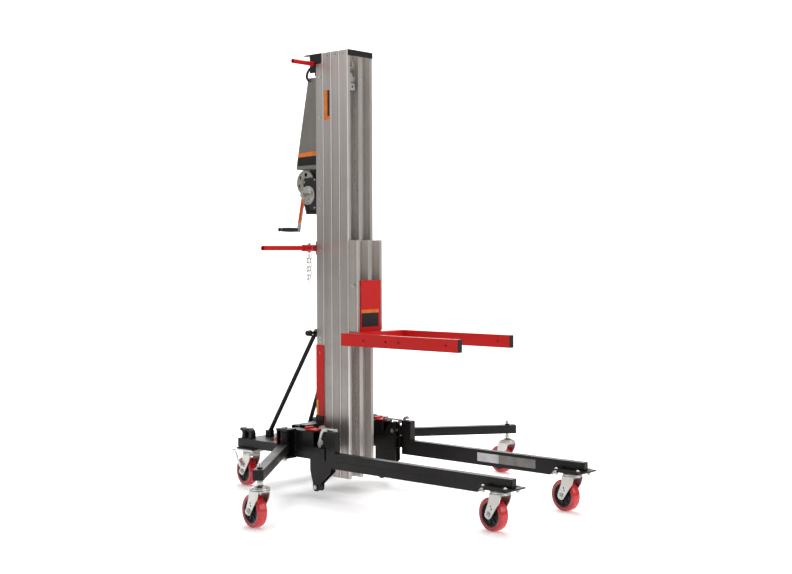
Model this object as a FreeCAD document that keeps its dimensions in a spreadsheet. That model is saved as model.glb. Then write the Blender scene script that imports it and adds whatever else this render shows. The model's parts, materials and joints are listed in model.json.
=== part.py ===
import FreeCAD, Part
import math
import os
import Sketcher
from FreeCAD import Placement, Rotation, Vector

# Winch driven material lift with a telescoping mast, stowed height, legs down.
# Frame: +Z up, +X forwards along the forks, +Y to the operator's left.
# Origin: on the floor, under the middle of the whole machine.
# All sizes in millimetres.  "right" is the -Y side, "left" is the +Y side.

os.makedirs("parts", exist_ok=True)
doc = FreeCAD.newDocument("material_lift")
sheet = doc.addObject("Spreadsheet::Sheet", "Dimensions")

DIMENSIONS = [
    # telescoping mast: four equal extrusions one in front of the other
    ("mast_width", 158.0), ("mast_rear", -425.4), ("mast_pitch", 50.4), ("mast_depth", 48.0),
    ("mast_base", 66.0), ("mast_top", 1960.0), ("mast_wall", 4.0), ("lip_thick", 4.5),
    ("lip_width", 15.0), ("rib_half", 4.0), ("rib_head_half", 11.0), ("groove_depth", 1.6),
    ("rail_thick", 5.0), ("rail_clearance", 1.6), ("neck_inner", 30.0), ("neck_outer", 45.0),
    ("head_inner", 7.5), ("head_outer", 68.0),
    # carriage and forks
    ("carriage_depth", 52.8), ("carriage_base", 718.0), ("carriage_top", 1119.0),
    ("plate_thick", 6.0), ("plate_half", 64.0), ("plate_top", 942.0),
    ("fork_half", 184.0), ("fork_thick", 25.0), ("fork_base", 663.0), ("fork_height", 53.0),
    ("fork_end", 474.0), ("fork_wall", 3.0), ("fork_cross_depth", 50.0), ("fork_hole_radius", 4.5),
    ("fork_hole_height", 690.0),
    ("fork_hole_one", -41.0), ("fork_hole_two", 87.0), ("fork_hole_three", 159.0), ("fork_hole_four", 412.0),
    # side housings of the base
    ("housing_rear", -427.0), ("housing_box_front", -272.0), ("housing_tube_front", -202.0),
    ("housing_inner", 188.0), ("housing_outer", 258.0), ("housing_base", 172.0), ("housing_ledge", 225.0),
    ("housing_top", 291.0), ("cheek_thick", 5.0), ("cheek_inner", 193.0), ("cheek_outer", 221.5),
    ("roller_axis_along", -286.0), ("roller_axis_height", 46.0), ("roller_radius", 18.0), ("roller_hole", 6.0),
    # front legs
    ("leg_inner", 228.0), ("leg_outer", 260.0), ("leg_base", 144.0), ("leg_top", 210.0), ("leg_seam", 177.0),
    ("leg_end", 789.0), ("leg_slant_start", 626.0), ("leg_slant_end", 656.0), ("leg_wall", 3.0),
    ("post_rear", -190.0), ("post_front", -137.0), ("post_top", 298.0),
    ("leg_pivot_along", -217.0), ("leg_pivot_height", 252.0), ("leg_pin_radius", 9.0),
    ("running_gap", 0.06),
    # casters
    ("wheel_radius", 65.0), ("wheel_half", 22.0), ("caster_trail", 40.0), ("axle_radius", 6.0),
    ("race_radius", 39.5), ("caster_height", 171.0), ("cheek_gap", 25.5), ("yoke_cheek", 4.0),
    ("front_swivel_along", 727.0), ("front_swivel_side", 244.0),
    ("outer_swivel_along", -13.981), ("outer_swivel_side", 794.698),
    ("rear_swivel_along", -705.0), ("rear_swivel_side", 225.0),
    ("caster_plate_thick", 6.0), ("caster_bolt_along", 40.0), ("caster_bolt_side", 31.0),
    # outriggers
    ("outrigger_pivot_along", -414.0), ("outrigger_pivot_side", 290.0), ("outrigger_tube", 40.0),
    ("outrigger_base", 193.0), ("outrigger_length", 644.0), ("outrigger_angle", 38.4), ("outrigger_past", 40.0),
    ("knuckle_base", 165.0), ("knuckle_top", 300.0), ("pivot_radius", 8.0), ("stem_radius", 6.5),
    # rear frame and braces
    ("rear_tube_inner", 200.0), ("rear_tube_outer", 250.0), ("rear_tube_base", 177.0), ("rear_tube_top", 217.0),
    ("rear_end", -771.0), ("rear_plate_rear", -742.0), ("rear_plate_front", -612.0),
    ("brace_radius", 10.0), ("brace_top_along", -452.0), ("brace_top_side", 62.0), ("brace_top_height", 702.0),
    ("brace_foot_along", -692.0), ("brace_foot_side", 125.0), ("brace_foot_height", 236.0),
    # winch
    ("drum_along", -515.0), ("drum_height", 1384.0), ("pinion_along", -478.0), ("pinion_height", 1324.6),
    ("gear_module", 2.0), ("gear_teeth", 56.0), ("pinion_teeth", 14.0), ("drum_radius", 28.0), ("flange_radius", 60.0),
    ("winch_plate_half", 47.0), ("drum_shaft_radius", 8.0), ("pinion_shaft_radius", 8.0),
    ("crank_reach", 160.0), ("crank_angle", 11.9), ("grip_radius", 10.5), ("grip_length", 100.0),
    # cable guard behind the mast
    ("guard_base", 1446.0), ("guard_top", 1860.0), ("guard_half", 52.0), ("guard_depth_top", 77.0),
    ("guard_depth_base", 157.0), ("guard_sheet", 2.0),
    # handles
    ("top_handle_height", 1916.0), ("top_handle_along", -440.0), ("top_handle_half", 208.0), ("top_handle_radius", 10.5),
    ("side_handle_height", 1085.0), ("side_handle_along", -446.0), ("side_handle_end", 386.0), ("side_handle_radius", 11.0),
    ("socket_radius", 15.5), ("socket_start", 61.0), ("socket_end", 144.0),
    ("cable_radius", 2.5), ("rear_sheave_radius", 38.0), ("front_sheave_radius", 22.0),
    ("front_sheave_height", 1897.0),
]
for row, (alias, value) in enumerate(DIMENSIONS, start=1):
    sheet.set("A%d" % row, alias.replace("_", " "))
    sheet.set("B%d" % row, repr(value))
    sheet.setAlias("B%d" % row, alias)
doc.recompute()


class Q:
    """A size that keeps its value and the sheet expression that gives it."""

    def __init__(self, value, text):
        self.v = float(value)
        self.e = text

    @staticmethod
    def of(other):
        return other if isinstance(other, Q) else Q(other, repr(float(other)))

    def __add__(self, other):
        other = Q.of(other)
        return Q(self.v + other.v, "(%s + %s)" % (self.e, other.e))

    def __sub__(self, other):
        other = Q.of(other)
        return Q(self.v - other.v, "(%s - %s)" % (self.e, other.e))

    def __mul__(self, other):
        other = Q.of(other)
        return Q(self.v * other.v, "(%s * %s)" % (self.e, other.e))

    def __truediv__(self, other):
        other = Q.of(other)
        return Q(self.v / other.v, "(%s / %s)" % (self.e, other.e))

    def __radd__(self, other):
        return Q.of(other) + self

    def __rsub__(self, other):
        return Q.of(other) - self

    def __rmul__(self, other):
        return Q.of(other) * self

    def __neg__(self):
        return Q(-self.v, "(0 - %s)" % self.e)


class Sizes:
    def __getattr__(self, alias):
        return Q(float(getattr(sheet, alias)), "Dimensions." + alias)


d = Sizes()


def num(q):
    return q.v if isinstance(q, Q) else float(q)


NODES = {}
counter = [0]


def fresh(word):
    counter[0] += 1
    return "%s_%03d" % (word, counter[0])


def bind(obj, prop, q):
    if isinstance(q, Q):
        obj.setExpression(prop, q.e)
    else:
        setattr(obj, prop, float(q))


AXES = {"z": Rotation(), "y": Rotation(Vector(1, 0, 0), -90), "x": Rotation(Vector(0, 1, 0), 90),
        "-z": Rotation(Vector(1, 0, 0), 180), "-y": Rotation(Vector(1, 0, 0), 90), "-x": Rotation(Vector(0, 1, 0), -90)}


def place(obj, x, y, z, rotation=None):
    obj.Placement = Placement(Vector(num(x), num(y), num(z)), rotation or Rotation())
    for letter, q in (("x", x), ("y", y), ("z", z)):
        if isinstance(q, Q):
            obj.setExpression("Placement.Base." + letter, q.e)


def block(x0, x1, y0, y1, z0, z1, side=1):
    """Box between two corners; side -1 mirrors it to the right hand side."""
    if side < 0:
        y0, y1 = -Q.of(y1), -Q.of(y0)
    o = doc.addObject("Part::Box", fresh("block"))
    bind(o, "Length", Q.of(x1) - x0)
    bind(o, "Width", Q.of(y1) - y0)
    bind(o, "Height", Q.of(z1) - z0)
    place(o, x0, y0, z0)
    return o


def rod(radius, length, x, y, z, axis="z"):
    """Cylinder that starts at x, y, z and runs along axis."""
    o = doc.addObject("Part::Cylinder", fresh("rod"))
    bind(o, "Radius", radius)
    bind(o, "Height", length)
    place(o, x, y, z, AXES[axis])
    return o


def cone(radius_one, radius_two, length, x, y, z, axis="z"):
    o = doc.addObject("Part::Cone", fresh("cone"))
    bind(o, "Radius1", radius_one)
    bind(o, "Radius2", radius_two)
    bind(o, "Height", length)
    place(o, x, y, z, AXES[axis])
    return o


def hexagon(radius, length, x, y, z, axis="z"):
    """Hexagonal bolt head or nut."""
    o = doc.addObject("Part::Prism", fresh("hexagon"))
    o.Polygon = 6
    bind(o, "Circumradius", radius)
    bind(o, "Height", length)
    place(o, x, y, z, AXES[axis])
    return o


def ring(radius, wire, x, y, z, axis="z"):
    o = doc.addObject("Part::Torus", fresh("ring"))
    bind(o, "Radius1", radius)
    bind(o, "Radius2", wire)
    place(o, x, y, z, AXES[axis])
    return o


def fuse(*parts):
    parts = [p for p in parts if p is not None]
    if len(parts) == 1:
        return parts[0]
    o = doc.addObject("Part::MultiFuse", fresh("fused"))
    o.Shapes = parts
    o.Refine = True
    return o


def cut(base, *tools):
    o = doc.addObject("Part::Cut", fresh("cut"))
    o.Base = base
    o.Tool = fuse(*tools)
    return o


def group(*parts):
    """Separate solids that share one node."""
    o = doc.addObject("Part::Compound", fresh("group"))
    o.Links = list(parts)
    return o


def coded(shape, word="piece"):
    """A shape worked out in code from sheet sizes."""
    o = doc.addObject("Part::Feature", fresh(word))
    o.Shape = shape
    o.Placement = shape.Placement
    return o


def node(name, obj):
    obj.Label = name
    NODES[name] = obj
    return obj


def origin_plane(body, role):
    for feature in body.Origin.OriginFeatures:
        if feature.Role == role:
            return feature
    raise RuntimeError("no plane " + role)


def outline(body, role, points, shift=0.0):
    """Closed polyline sketch; every corner is dimensioned from the origin."""
    sk = body.newObject("Sketcher::SketchObject", fresh("sketch"))
    sk.AttachmentSupport = [(origin_plane(body, role), "")]
    sk.MapMode = "FlatFace"
    if isinstance(shift, Q) or shift:
        sk.AttachmentOffset = Placement(Vector(0, 0, num(shift)), Rotation())
        if isinstance(shift, Q):
            sk.setExpression("AttachmentOffset.Base.z", shift.e)
    n = len(points)
    vec = [Vector(num(p[0]), num(p[1]), 0) for p in points]
    sk.addGeometry([Part.LineSegment(vec[i], vec[(i + 1) % n]) for i in range(n)], False)
    sk.addConstraint([Sketcher.Constraint("Coincident", i, 2, (i + 1) % n, 1) for i in range(n)])
    for i, p in enumerate(points):
        for kind, q in (("DistanceX", p[0]), ("DistanceY", p[1])):
            index = sk.addConstraint(Sketcher.Constraint(kind, -1, 1, i, 1, num(q)))
            if isinstance(q, Q):
                sk.renameConstraint(index, "%s%d" % ("across" if kind == "DistanceX" else "up", i))
                sk.setExpression("Constraints.%s%d" % ("across" if kind == "DistanceX" else "up", i), q.e)
    return sk


def padded(points, role, length, shift=0.0, reverse=False, word="profile"):
    """Body made by padding one closed outline."""
    body = doc.addObject("PartDesign::Body", fresh(word))
    sk = outline(body, role, points, shift)
    pad = body.newObject("PartDesign::Pad", fresh("pad"))
    pad.Profile = sk
    bind(pad, "Length", length)
    pad.Reversed = reverse
    body.Tip = pad
    return body


def turned(points, word="turned"):
    """Body made by revolving an outline (radius, height) about its own Z axis."""
    body = doc.addObject("PartDesign::Body", fresh(word))
    sk = outline(body, "XZ_Plane", points)
    rev = body.newObject("PartDesign::Revolution", fresh("revolve"))
    rev.Profile = sk
    rev.ReferenceAxis = (sk, ["V_Axis"])
    rev.Angle = 360.0
    body.Tip = rev
    return body


def moved(obj, x, y, z, rotation=None):
    place(obj, x, y, z, rotation)
    return obj


# ---------------------------------------------------------------- mast and carriage
def section_outline(depth, rails):
    """Half outline of the extrusion: open channels in front, T rails behind."""
    half = d.mast_width / 2
    wall, lip = d.mast_wall, d.lip_thick
    head_front = -1 * ((d.mast_pitch - d.mast_depth) + lip + d.rail_clearance)
    head_back = head_front - d.rail_thick
    p = []
    if rails:
        p += [(0, d.neck_inner), (head_front, d.neck_inner), (head_front, d.head_inner), (head_back, d.head_inner),
              (head_back, d.head_outer), (head_front, d.head_outer), (head_front, d.neck_outer), (0, d.neck_outer)]
    p += [(0, half), (depth - 9, half), (depth - 9, half - d.groove_depth), (depth - 6, half - d.groove_depth),
          (depth - 6, half), (depth, half), (depth, half - d.lip_width), (depth - lip, half - d.lip_width),
          (depth - lip, half - wall), (wall, half - wall), (wall, d.rib_half), (depth - lip, d.rib_half),
          (depth - lip, d.rib_head_half), (depth, d.rib_head_half)]
    mirror = [(x, -1 * Q.of(y)) for x, y in reversed(p)]
    return p + mirror


def extrusion(depth, rails, start, base, top, word):
    body = padded(section_outline(depth, rails), "XY_Plane", top - base, word=word)
    return moved(body, start, 0, base)


def bored(obj, *tools):
    return cut(obj, *tools)


half = d.mast_width / 2
mast_start = [d.mast_rear + k * d.mast_pitch for k in range(5)]
mast_front = mast_start[3] + d.mast_depth
for k in range(4):
    raw = extrusion(d.mast_depth, k > 0, mast_start[k], d.mast_base, d.mast_top, "mast_profile")
    holes = [rod(4.2, 12, mast_start[k] + 22, half - 8, 1944, "y"), rod(4.2, 12, mast_start[k] + 22, -half - 4, 1944, "y")]
    if k == 0:
        holes = [rod(4.2, 12, mast_start[k] + 12, half - 8, 100, "y"), rod(6.0, 12, mast_start[k] - 4, 12, 1844.6, "x")]
    if k == 3:
        holes.append(rod(4.0, 8, mast_front - 6, -70, 188, "x"))
    node("mast_%d" % (k + 1), cut(raw, *holes))

carriage_start = mast_start[4]
carriage_front = carriage_start + d.carriage_depth
carriage_raw = extrusion(d.carriage_depth, True, carriage_start, d.carriage_base, d.carriage_top, "carriage_profile")
node("carriage", cut(carriage_raw, rod(5.06, 12, carriage_start + 27, -half - 4, 919, "y")))

# lock pin: a zinc pin through the carriage's right wall, with head and washer
node("carriage_lock_pin", fuse(rod(5.0, 14, carriage_start + 27, -half - 8, 919, "y"),
                               rod(9.0, 2.0, carriage_start + 27, -half - 2.1, 919, "y"),
                               hexagon(8.5, 6, carriage_start + 27, -half - 8.1, 919, "y")))

# red weldment: back plate, cross tube and two fork arms, with drilled holes
arm_rear = carriage_front + d.plate_thick
arm_top = d.fork_base + d.fork_height
w = d.fork_wall
fork_parts = [block(carriage_front, arm_rear, -d.plate_half, d.plate_half, d.fork_base, d.plate_top),
              cut(block(arm_rear, arm_rear + d.fork_cross_depth, -(d.fork_half - d.fork_thick) - 1, d.fork_half - d.fork_thick + 1,
                        d.fork_base, arm_top),
                  block(arm_rear + w, arm_rear + d.fork_cross_depth - w, -(d.fork_half - d.fork_thick), d.fork_half - d.fork_thick,
                        d.fork_base + w, arm_top - w))]
fork_holes = []
for side in (-1, 1):
    fork_parts.append(cut(block(arm_rear - 6, d.fork_end, d.fork_half - d.fork_thick, d.fork_half, d.fork_base, arm_top, side),
                          block(arm_rear - 3, d.fork_end + 1, d.fork_half - d.fork_thick + w, d.fork_half - w,
                                d.fork_base + w, arm_top - w, side)))
for along in (d.fork_hole_one, d.fork_hole_two, d.fork_hole_three, d.fork_hole_four):
    fork_holes.append(rod(d.fork_hole_radius, d.fork_thick + 4, along, -d.fork_half - 2, d.fork_hole_height, "y"))
    fork_holes.append(rod(d.fork_hole_radius, d.fork_thick + 4, along, d.fork_half - d.fork_thick - 2, d.fork_hole_height, "y"))
node("fork_frame", cut(fuse(*fork_parts), *fork_holes))
caps = []
for side in (-1, 1):
    caps.append(fuse(block(d.fork_end, d.fork_end + 3, d.fork_half - d.fork_thick, d.fork_half, d.fork_base, arm_top, side),
                     block(d.fork_end - 16, d.fork_end + 1, d.fork_half - d.fork_thick + w + 0.1, d.fork_half - w - 0.1,
                           d.fork_base + w + 0.1, arm_top - w - 0.1, side)))
node("fork_end_caps", group(*caps))

# black cap over the front of the top section, plugged into its two channels
cap_band = block(mast_front, mast_front + 4, -half, half, 1934, d.mast_top)
plugs = [block(mast_front - 4.4, mast_front + 1, 11.5, 63.5, 1940, d.mast_top, s) for s in (-1, 1)]
node("mast_top_cap", fuse(cap_band, *plugs))

# cable anchor in the right hand channel: bent plate and square washer
chan = mast_start[3] + d.mast_wall
far = chan + 14
anchor = fuse(block(chan, far + 5, -62, -57, 1783, 1862), block(far, far + 5, -62, -16, 1783, 1862), block(far + 5, far + 17, -52, -20, 1783, 1815))
gusset = padded([(-60, 1862), (-18, 1838), (-24, 1820), (-60, 1820)], "YZ_Plane", 10, word="gusset")
gusset = moved(gusset, far + 4.9, 0, 0)
node("cable_anchor", cut(fuse(anchor, gusset), rod(5, 40, far - 6, -36, 1799, "x")))

# front sheave turns about X on its own stub axle set in the section's back wall
sheave_mid = far + 10
sheave = turned([(6.05, -6), (9, -6), (9, -5), (18, -4), (19, -5.5), (22, -5.5), (18.4, 0), (22, 5.5), (19, 5.5), (18, 4), (9, 5),
                 (9, 6), (6.05, 6)], "sheave")
node("front_sheave", moved(sheave, sheave_mid, -38, d.front_sheave_height, AXES["x"]))
front_cable = fuse(rod(d.cable_radius, d.front_sheave_height - 130, far + 9, -38 + 24.7, 130),
                   rod(d.cable_radius, 30, far + 9, -38 - 24.7 + 1, 1866))
node("front_cable", fuse(front_cable, rod(6.0, 35, chan + 0.02, -38, d.front_sheave_height, "x"),
                         hexagon(9, 4, far + 17.5, -38, d.front_sheave_height, "x"),
                         block(chan + 0.02, far + 12, -18.5, -11, 124, 140)))

# ---------------------------------------------------------------- things on the back of the first section
# red channel that hugs the foot of the first section
t3 = 3.0
foot = cut(block(d.mast_rear - t3, -379, -half - t3, half + t3, 297, 650), block(d.mast_rear, -370, -half, half, 290, 660),
           rod(6, 20, -408, -half - 10, 615, "y"), rod(6, 20, -408, half - 8, 615, "y"))
node("mast_foot_channel", foot)

# top bracket: ears on the section's sides, top flange, rear post and bent guard loop
ears = [block(d.mast_rear - 4, -392, half, half + 3, 1914, 1960, s) for s in (-1, 1)]
rear_plate = block(d.mast_rear - 4, d.mast_rear, -half - 3, half + 3, 1905, 1960)
webs = [block(-461, -420, half, half + 3, 1914, 1960, s) for s in (-1, 1)] + [block(-461, d.mast_rear - 0.4, half, half + 3, 1875, 1915, s) for s in (-1, 1)]
flange = block(-500, d.mast_rear - 3, -1 * half - 3, half + 3, 1955, 1960)
posts = [cut(block(-462, d.mast_rear - 3, 44, 50, 1866, 1957, s), rod(4, 30, -450, -90 if s < 0 else 40, 1880, "y")) for s in (-1, 1)]
bracket = cut(fuse(ears[0], ears[1], rear_plate, flange, *posts, *webs),
              rod(d.top_handle_radius + 0.02, 180, d.top_handle_along, -90, d.top_handle_height, "y"),
              rod(7, 120, -470, -30, 1940, "z"))
node("top_bracket", bracket)
bar = rod(d.top_handle_radius, d.top_handle_half * 2, d.top_handle_along, -d.top_handle_half, d.top_handle_height, "y")
bar_end = [rod(7.5, 14, d.top_handle_along, -d.top_handle_half - 0.5, d.top_handle_height, "y"),
           rod(7.5, 14, d.top_handle_along, d.top_handle_half - 13.5, d.top_handle_height, "y")]
node("top_handle", cut(bar, *bar_end))

# cable guard: tapered sheet shroud, open towards the mast and at the bottom
rear = d.mast_rear
outer = padded([(rear, d.guard_base), (rear - d.guard_depth_base, d.guard_base), (rear - d.guard_depth_base, d.guard_base + 14),
                (rear - d.guard_depth_top, d.guard_top), (rear, d.guard_top)], "XZ_Plane", d.guard_half * 2, word="guard_outer")
outer = moved(outer, 0, d.guard_half, 0)
gs = d.guard_sheet
inner = padded([(rear + 5, d.guard_base - 5), (rear - d.guard_depth_base + gs, d.guard_base - 5),
                (rear - d.guard_depth_base + gs, d.guard_base + 14), (rear - d.guard_depth_top + gs, d.guard_top - gs),
                (rear + 5, d.guard_top - gs)], "XZ_Plane", (d.guard_half - gs) * 2, word="guard_inner")
inner = moved(inner, 0, d.guard_half - gs, 0)
slot = block(-480, -438, -14, 14, d.guard_top - 8, d.guard_top + 4)
node("cable_guard", cut(outer, inner, slot))

# ---------------------------------------------------------------- winch
pw = d.winch_plate_half
win_rear, win_base, win_top = -539, 1240, 1440
plates = []
for s in (-1, 1):
    prof = padded([(d.mast_rear, win_base), (-520, win_base), (win_rear, 1300), (win_rear, win_top), (d.mast_rear, win_top)],
                  "XZ_Plane", 4, word="winch_plate")
    plates.append(moved(prof, 0, pw + 4 if s > 0 else -pw, 0))
back = block(d.mast_rear - 4, d.mast_rear, -pw - 4, pw + 4, win_base, win_top)
tie = block(-520, d.mast_rear, -pw, pw, win_base, win_base + 4)
outboard = fuse(block(-500, d.mast_rear, -72, -68, 1300, 1352), block(d.mast_rear - 20, d.mast_rear - 2, -72, -pw, 1300, 1310))
frame_solid = fuse(*plates, back, tie, outboard)
winch_frame = cut(frame_solid, rod(d.drum_shaft_radius + d.running_gap, 140, d.drum_along, -80, d.drum_height, "y"),
                  rod(d.pinion_shaft_radius + d.running_gap, 140, d.pinion_along, -80, d.pinion_height, "y"))
node("winch_frame", winch_frame)


def gear(teeth, module, thickness, bore=0.0, backlash=0.16, phase=0.0):
    """Straight sided spur gear about Z, from z 0 up to thickness."""
    rp = module * teeth / 2.0
    ro, rr = rp + 0.9 * module, rp - 1.25 * module
    step = 2 * math.pi / teeth
    pts = []
    for k in range(int(teeth)):
        a = phase + k * step
        for r, frac in ((rr, -0.36), (rp, -0.25 + backlash / 4), (ro, -0.13), (ro, 0.13), (rp, 0.25 - backlash / 4), (rr, 0.36)):
            pts.append(Vector(r * math.cos(a + frac * step), r * math.sin(a + frac * step), 0))
    face = Part.Face(Part.makePolygon(pts + [pts[0]]))
    return face.extrude(Vector(0, 0, thickness))


# mesh phase: the pinion has a gap where the big gear has a tooth, along the centre line
ax, az = num(d.pinion_along - d.drum_along), num(d.pinion_height - d.drum_height)
line = math.atan2(az, ax)
module, teeth_big, teeth_small = num(d.gear_module), num(d.gear_teeth), num(d.pinion_teeth)


def along_y(shape, x, y, z):
    """Turn a shape made about Z so that it lies about Y, with +Z going to -Y and X kept."""
    shape = shape.copy()
    shape.rotate(Vector(0, 0, 0), Vector(1, 0, 0), 90)
    shape.translate(Vector(x, y, z))
    return shape


big = along_y(gear(teeth_big, module, 8, phase=line), num(d.drum_along), -54, num(d.drum_height))
big_obj = coded(big, "gear")
web_holes = [rod(9, 40, d.drum_along + 36 * math.cos(0.4 + k * math.pi / 3), -90, d.drum_height + 36 * math.sin(0.4 + k * math.pi / 3), "y")
             for k in range(6)]
drum_solid = fuse(rod(d.drum_shaft_radius, 124, d.drum_along, -66, d.drum_height, "y"),
                  rod(d.drum_radius, 80, d.drum_along, -40, d.drum_height, "y"),
                  rod(d.flange_radius, 3, d.drum_along, -43, d.drum_height, "y"),
                  rod(d.flange_radius, 3, d.drum_along, 40, d.drum_height, "y"))
gear_solid = cut(fuse(big_obj, rod(14, 10, d.drum_along, -64, d.drum_height, "y")), *web_holes)
node("winch_drum", fuse(drum_solid, gear_solid))

small = along_y(gear(teeth_small, module, 10, phase=line + math.pi + math.pi / teeth_small), num(d.pinion_along), -53, num(d.pinion_height))
small_obj = coded(small, "pinion")
ca = math.radians(num(d.crank_angle))
hub_y = -98.0
end_along, end_height = d.pinion_along - d.crank_reach * math.sin(ca), d.pinion_height - d.crank_reach * math.cos(ca)
arm = Part.makeBox(20, 5, num(d.crank_reach) + 20, Vector(-10, 0, -num(d.crank_reach) - 10))
arm.rotate(Vector(0, 0, 0), Vector(0, 1, 0), num(d.crank_angle))
arm.translate(Vector(num(d.pinion_along), -110, num(d.pinion_height)))
crank = fuse(small_obj, rod(d.pinion_shaft_radius, 172, d.pinion_along, -114, d.pinion_height, "y"),
             rod(42.5, 5, d.pinion_along, -82, d.pinion_height, "y"), rod(30, 4, d.pinion_along, -86, d.pinion_height, "y"),
             rod(15, 22, d.pinion_along, -105, d.pinion_height, "y"), coded(arm, "arm"),
             hexagon(11, 8, d.pinion_along, -121, d.pinion_height, "y"),
             rod(5.0, 116, end_along, -224, end_height, "y"), rod(9.0, 3, end_along, -227, end_height, "y"))
node("winch_crank", crank)
grip = turned([(5.06, 0), (9.0, 0), (10.5, 3), (10.5, 22), (9.4, 50), (10.5, 80), (10.5, 97), (8.5, 100), (5.06, 100)], "grip")
node("crank_grip", moved(grip, end_along, -117, end_height, AXES["-y"]))

# side handle socket with its cross pin and retaining chain
sx, sz = d.side_handle_along, d.side_handle_height
socket = fuse(rod(d.socket_radius, d.socket_end + 30, sx, -d.socket_end, sz, "y"),
              block(d.mast_rear - 3, d.mast_rear, -70, 70, sz - 34, sz + 34), block(-446, d.mast_rear, -64, -58, sz - 30, sz + 30),
              block(-446, d.mast_rear, 18, 24, sz - 30, sz + 30))
socket = cut(socket, rod(d.side_handle_radius + 0.05, 400, sx, -300, sz, "y"))
pin_y = -105.0
socket = cut(socket, rod(4.1, 60, sx, pin_y, sz - 30, "z"))
node("handle_socket", socket)
tube = cut(rod(d.side_handle_radius, d.side_handle_end - 2, sx, -d.side_handle_end, sz, "y"),
           rod(8.5, d.side_handle_end, sx, -d.side_handle_end - 1, sz, "y"), rod(4.1, 60, sx, pin_y, sz - 30, "z"))
node("side_handle", tube)


def link(length, width, wire):
    """One chain link standing in the XZ plane, centred on its middle."""
    r = (width - wire) / 2.0
    straight = length - 2 * r - wire
    z = straight / 2.0
    path = [Part.makeTorus(r, wire / 2.0, Vector(0, 0, z), Vector(0, 1, 0)), Part.makeTorus(r, wire / 2.0, Vector(0, 0, -z), Vector(0, 1, 0))]
    upper = path[0].common(Part.makeBox(80, 80, 80, Vector(-40, -40, z)))
    lower = path[1].common(Part.makeBox(80, 80, 80, Vector(-40, -40, -z - 80)))
    sides = [Part.makeCylinder(wire / 2.0, straight, Vector(sgn * r, 0, -z), Vector(0, 0, 1)) for sgn in (-1, 1)]
    return upper.fuse([lower] + sides).removeSplitter()


links = []
for strand, dy, count in ((0, -9.0, 7), (1, 9.0, 6)):
    for k in range(count):
        one = link(25.0, 12.0, 2.6)
        one.rotate(Vector(0, 0, 0), Vector(0, 0, 1), 90 * (k % 2) + 20 + 30 * strand)
        one.translate(Vector(num(sx) - 1, pin_y + dy + 0.5 * k * (1 if strand == 0 else -1), num(sz) - 38 - k * 18.5))
        links.append(one)
chain_objects = [coded(one, "link") for one in links]
lock = rod(3.9, 48, sx, pin_y, sz - 23, "z")
pull_ring = fuse(ring(19.5, 1.6, sx, pin_y, sz, "y"), lock)
node("retainer_chain", group(pull_ring, *chain_objects))

# rear sheave under the top of the guard and the lift cable that runs down to the drum
sh_x, sh_z, sh_y = -462.0, 1822.0, 12.0
rear_sheave = turned([(5.05, -6), (9, -6), (9, -4), (17.5, -4), (19.5, -6), (23, -6), (18.9, 0), (23, 6), (19.5, 6), (17.5, 4), (9, 4), (9, 6),
                      (5.05, 6)], "sheave")
node("rear_sheave", moved(rear_sheave, sh_x, sh_y, sh_z, AXES["y"]))


def cable(points_and_arcs, radius):
    """Round cable swept along a chain of straight and arc edges."""
    wire = Part.Wire(points_and_arcs)
    edge = wire.Edges[0]
    start = edge.valueAt(edge.FirstParameter)
    direction = edge.tangentAt(edge.FirstParameter)
    circle = Part.Wire([Part.makeCircle(radius, start, direction)])
    return wire.makePipeShell([circle], True, False)


rc = 22.6
low_r = num(d.drum_radius) + 2.6
dx, dz = sh_x - num(d.drum_along), sh_z - num(d.drum_height)
dist = math.hypot(dx, dz)
tilt = math.atan2(dx, dz)
lean = math.asin((low_r - rc) / dist)
ang = tilt - lean + lean * 2
nrm = Vector(-math.cos(ang), 0, math.sin(ang))
p_low = Vector(num(d.drum_along), sh_y, num(d.drum_height)) + nrm * low_r
p_high = Vector(sh_x, sh_y, sh_z) + nrm * rc
mid = Vector(sh_x, sh_y, sh_z) + Vector(-math.sin(math.pi / 4 - ang / 2), 0, math.cos(math.pi / 4 - ang / 2)) * rc
p_top = Vector(sh_x, sh_y, sh_z + rc)
p_in = Vector(num(d.mast_rear) + 14, sh_y, sh_z + rc)
run = cable([Part.LineSegment(p_low, p_high).toShape(), Part.Arc(p_high, mid, p_top).toShape(), Part.LineSegment(p_top, p_in).toShape()],
            num(d.cable_radius))
stop = Part.makeCylinder(5.5, 14, Vector(num(d.mast_rear) + 5.0, sh_y, sh_z + rc), Vector(1, 0, 0))
node("lift_cable", coded(run.fuse(stop), "cable"))


def top_plate(x, y):
    """Zinc top plate of a caster with the kingpin and nut its yoke turns on."""
    return fuse(block(x - 52, x + 52, y - 41, y + 41, 162.6, d.caster_height - 0.02), rod(8, 24, x, y, 139), hexagon(12, 6, x, y, 137.5))


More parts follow.
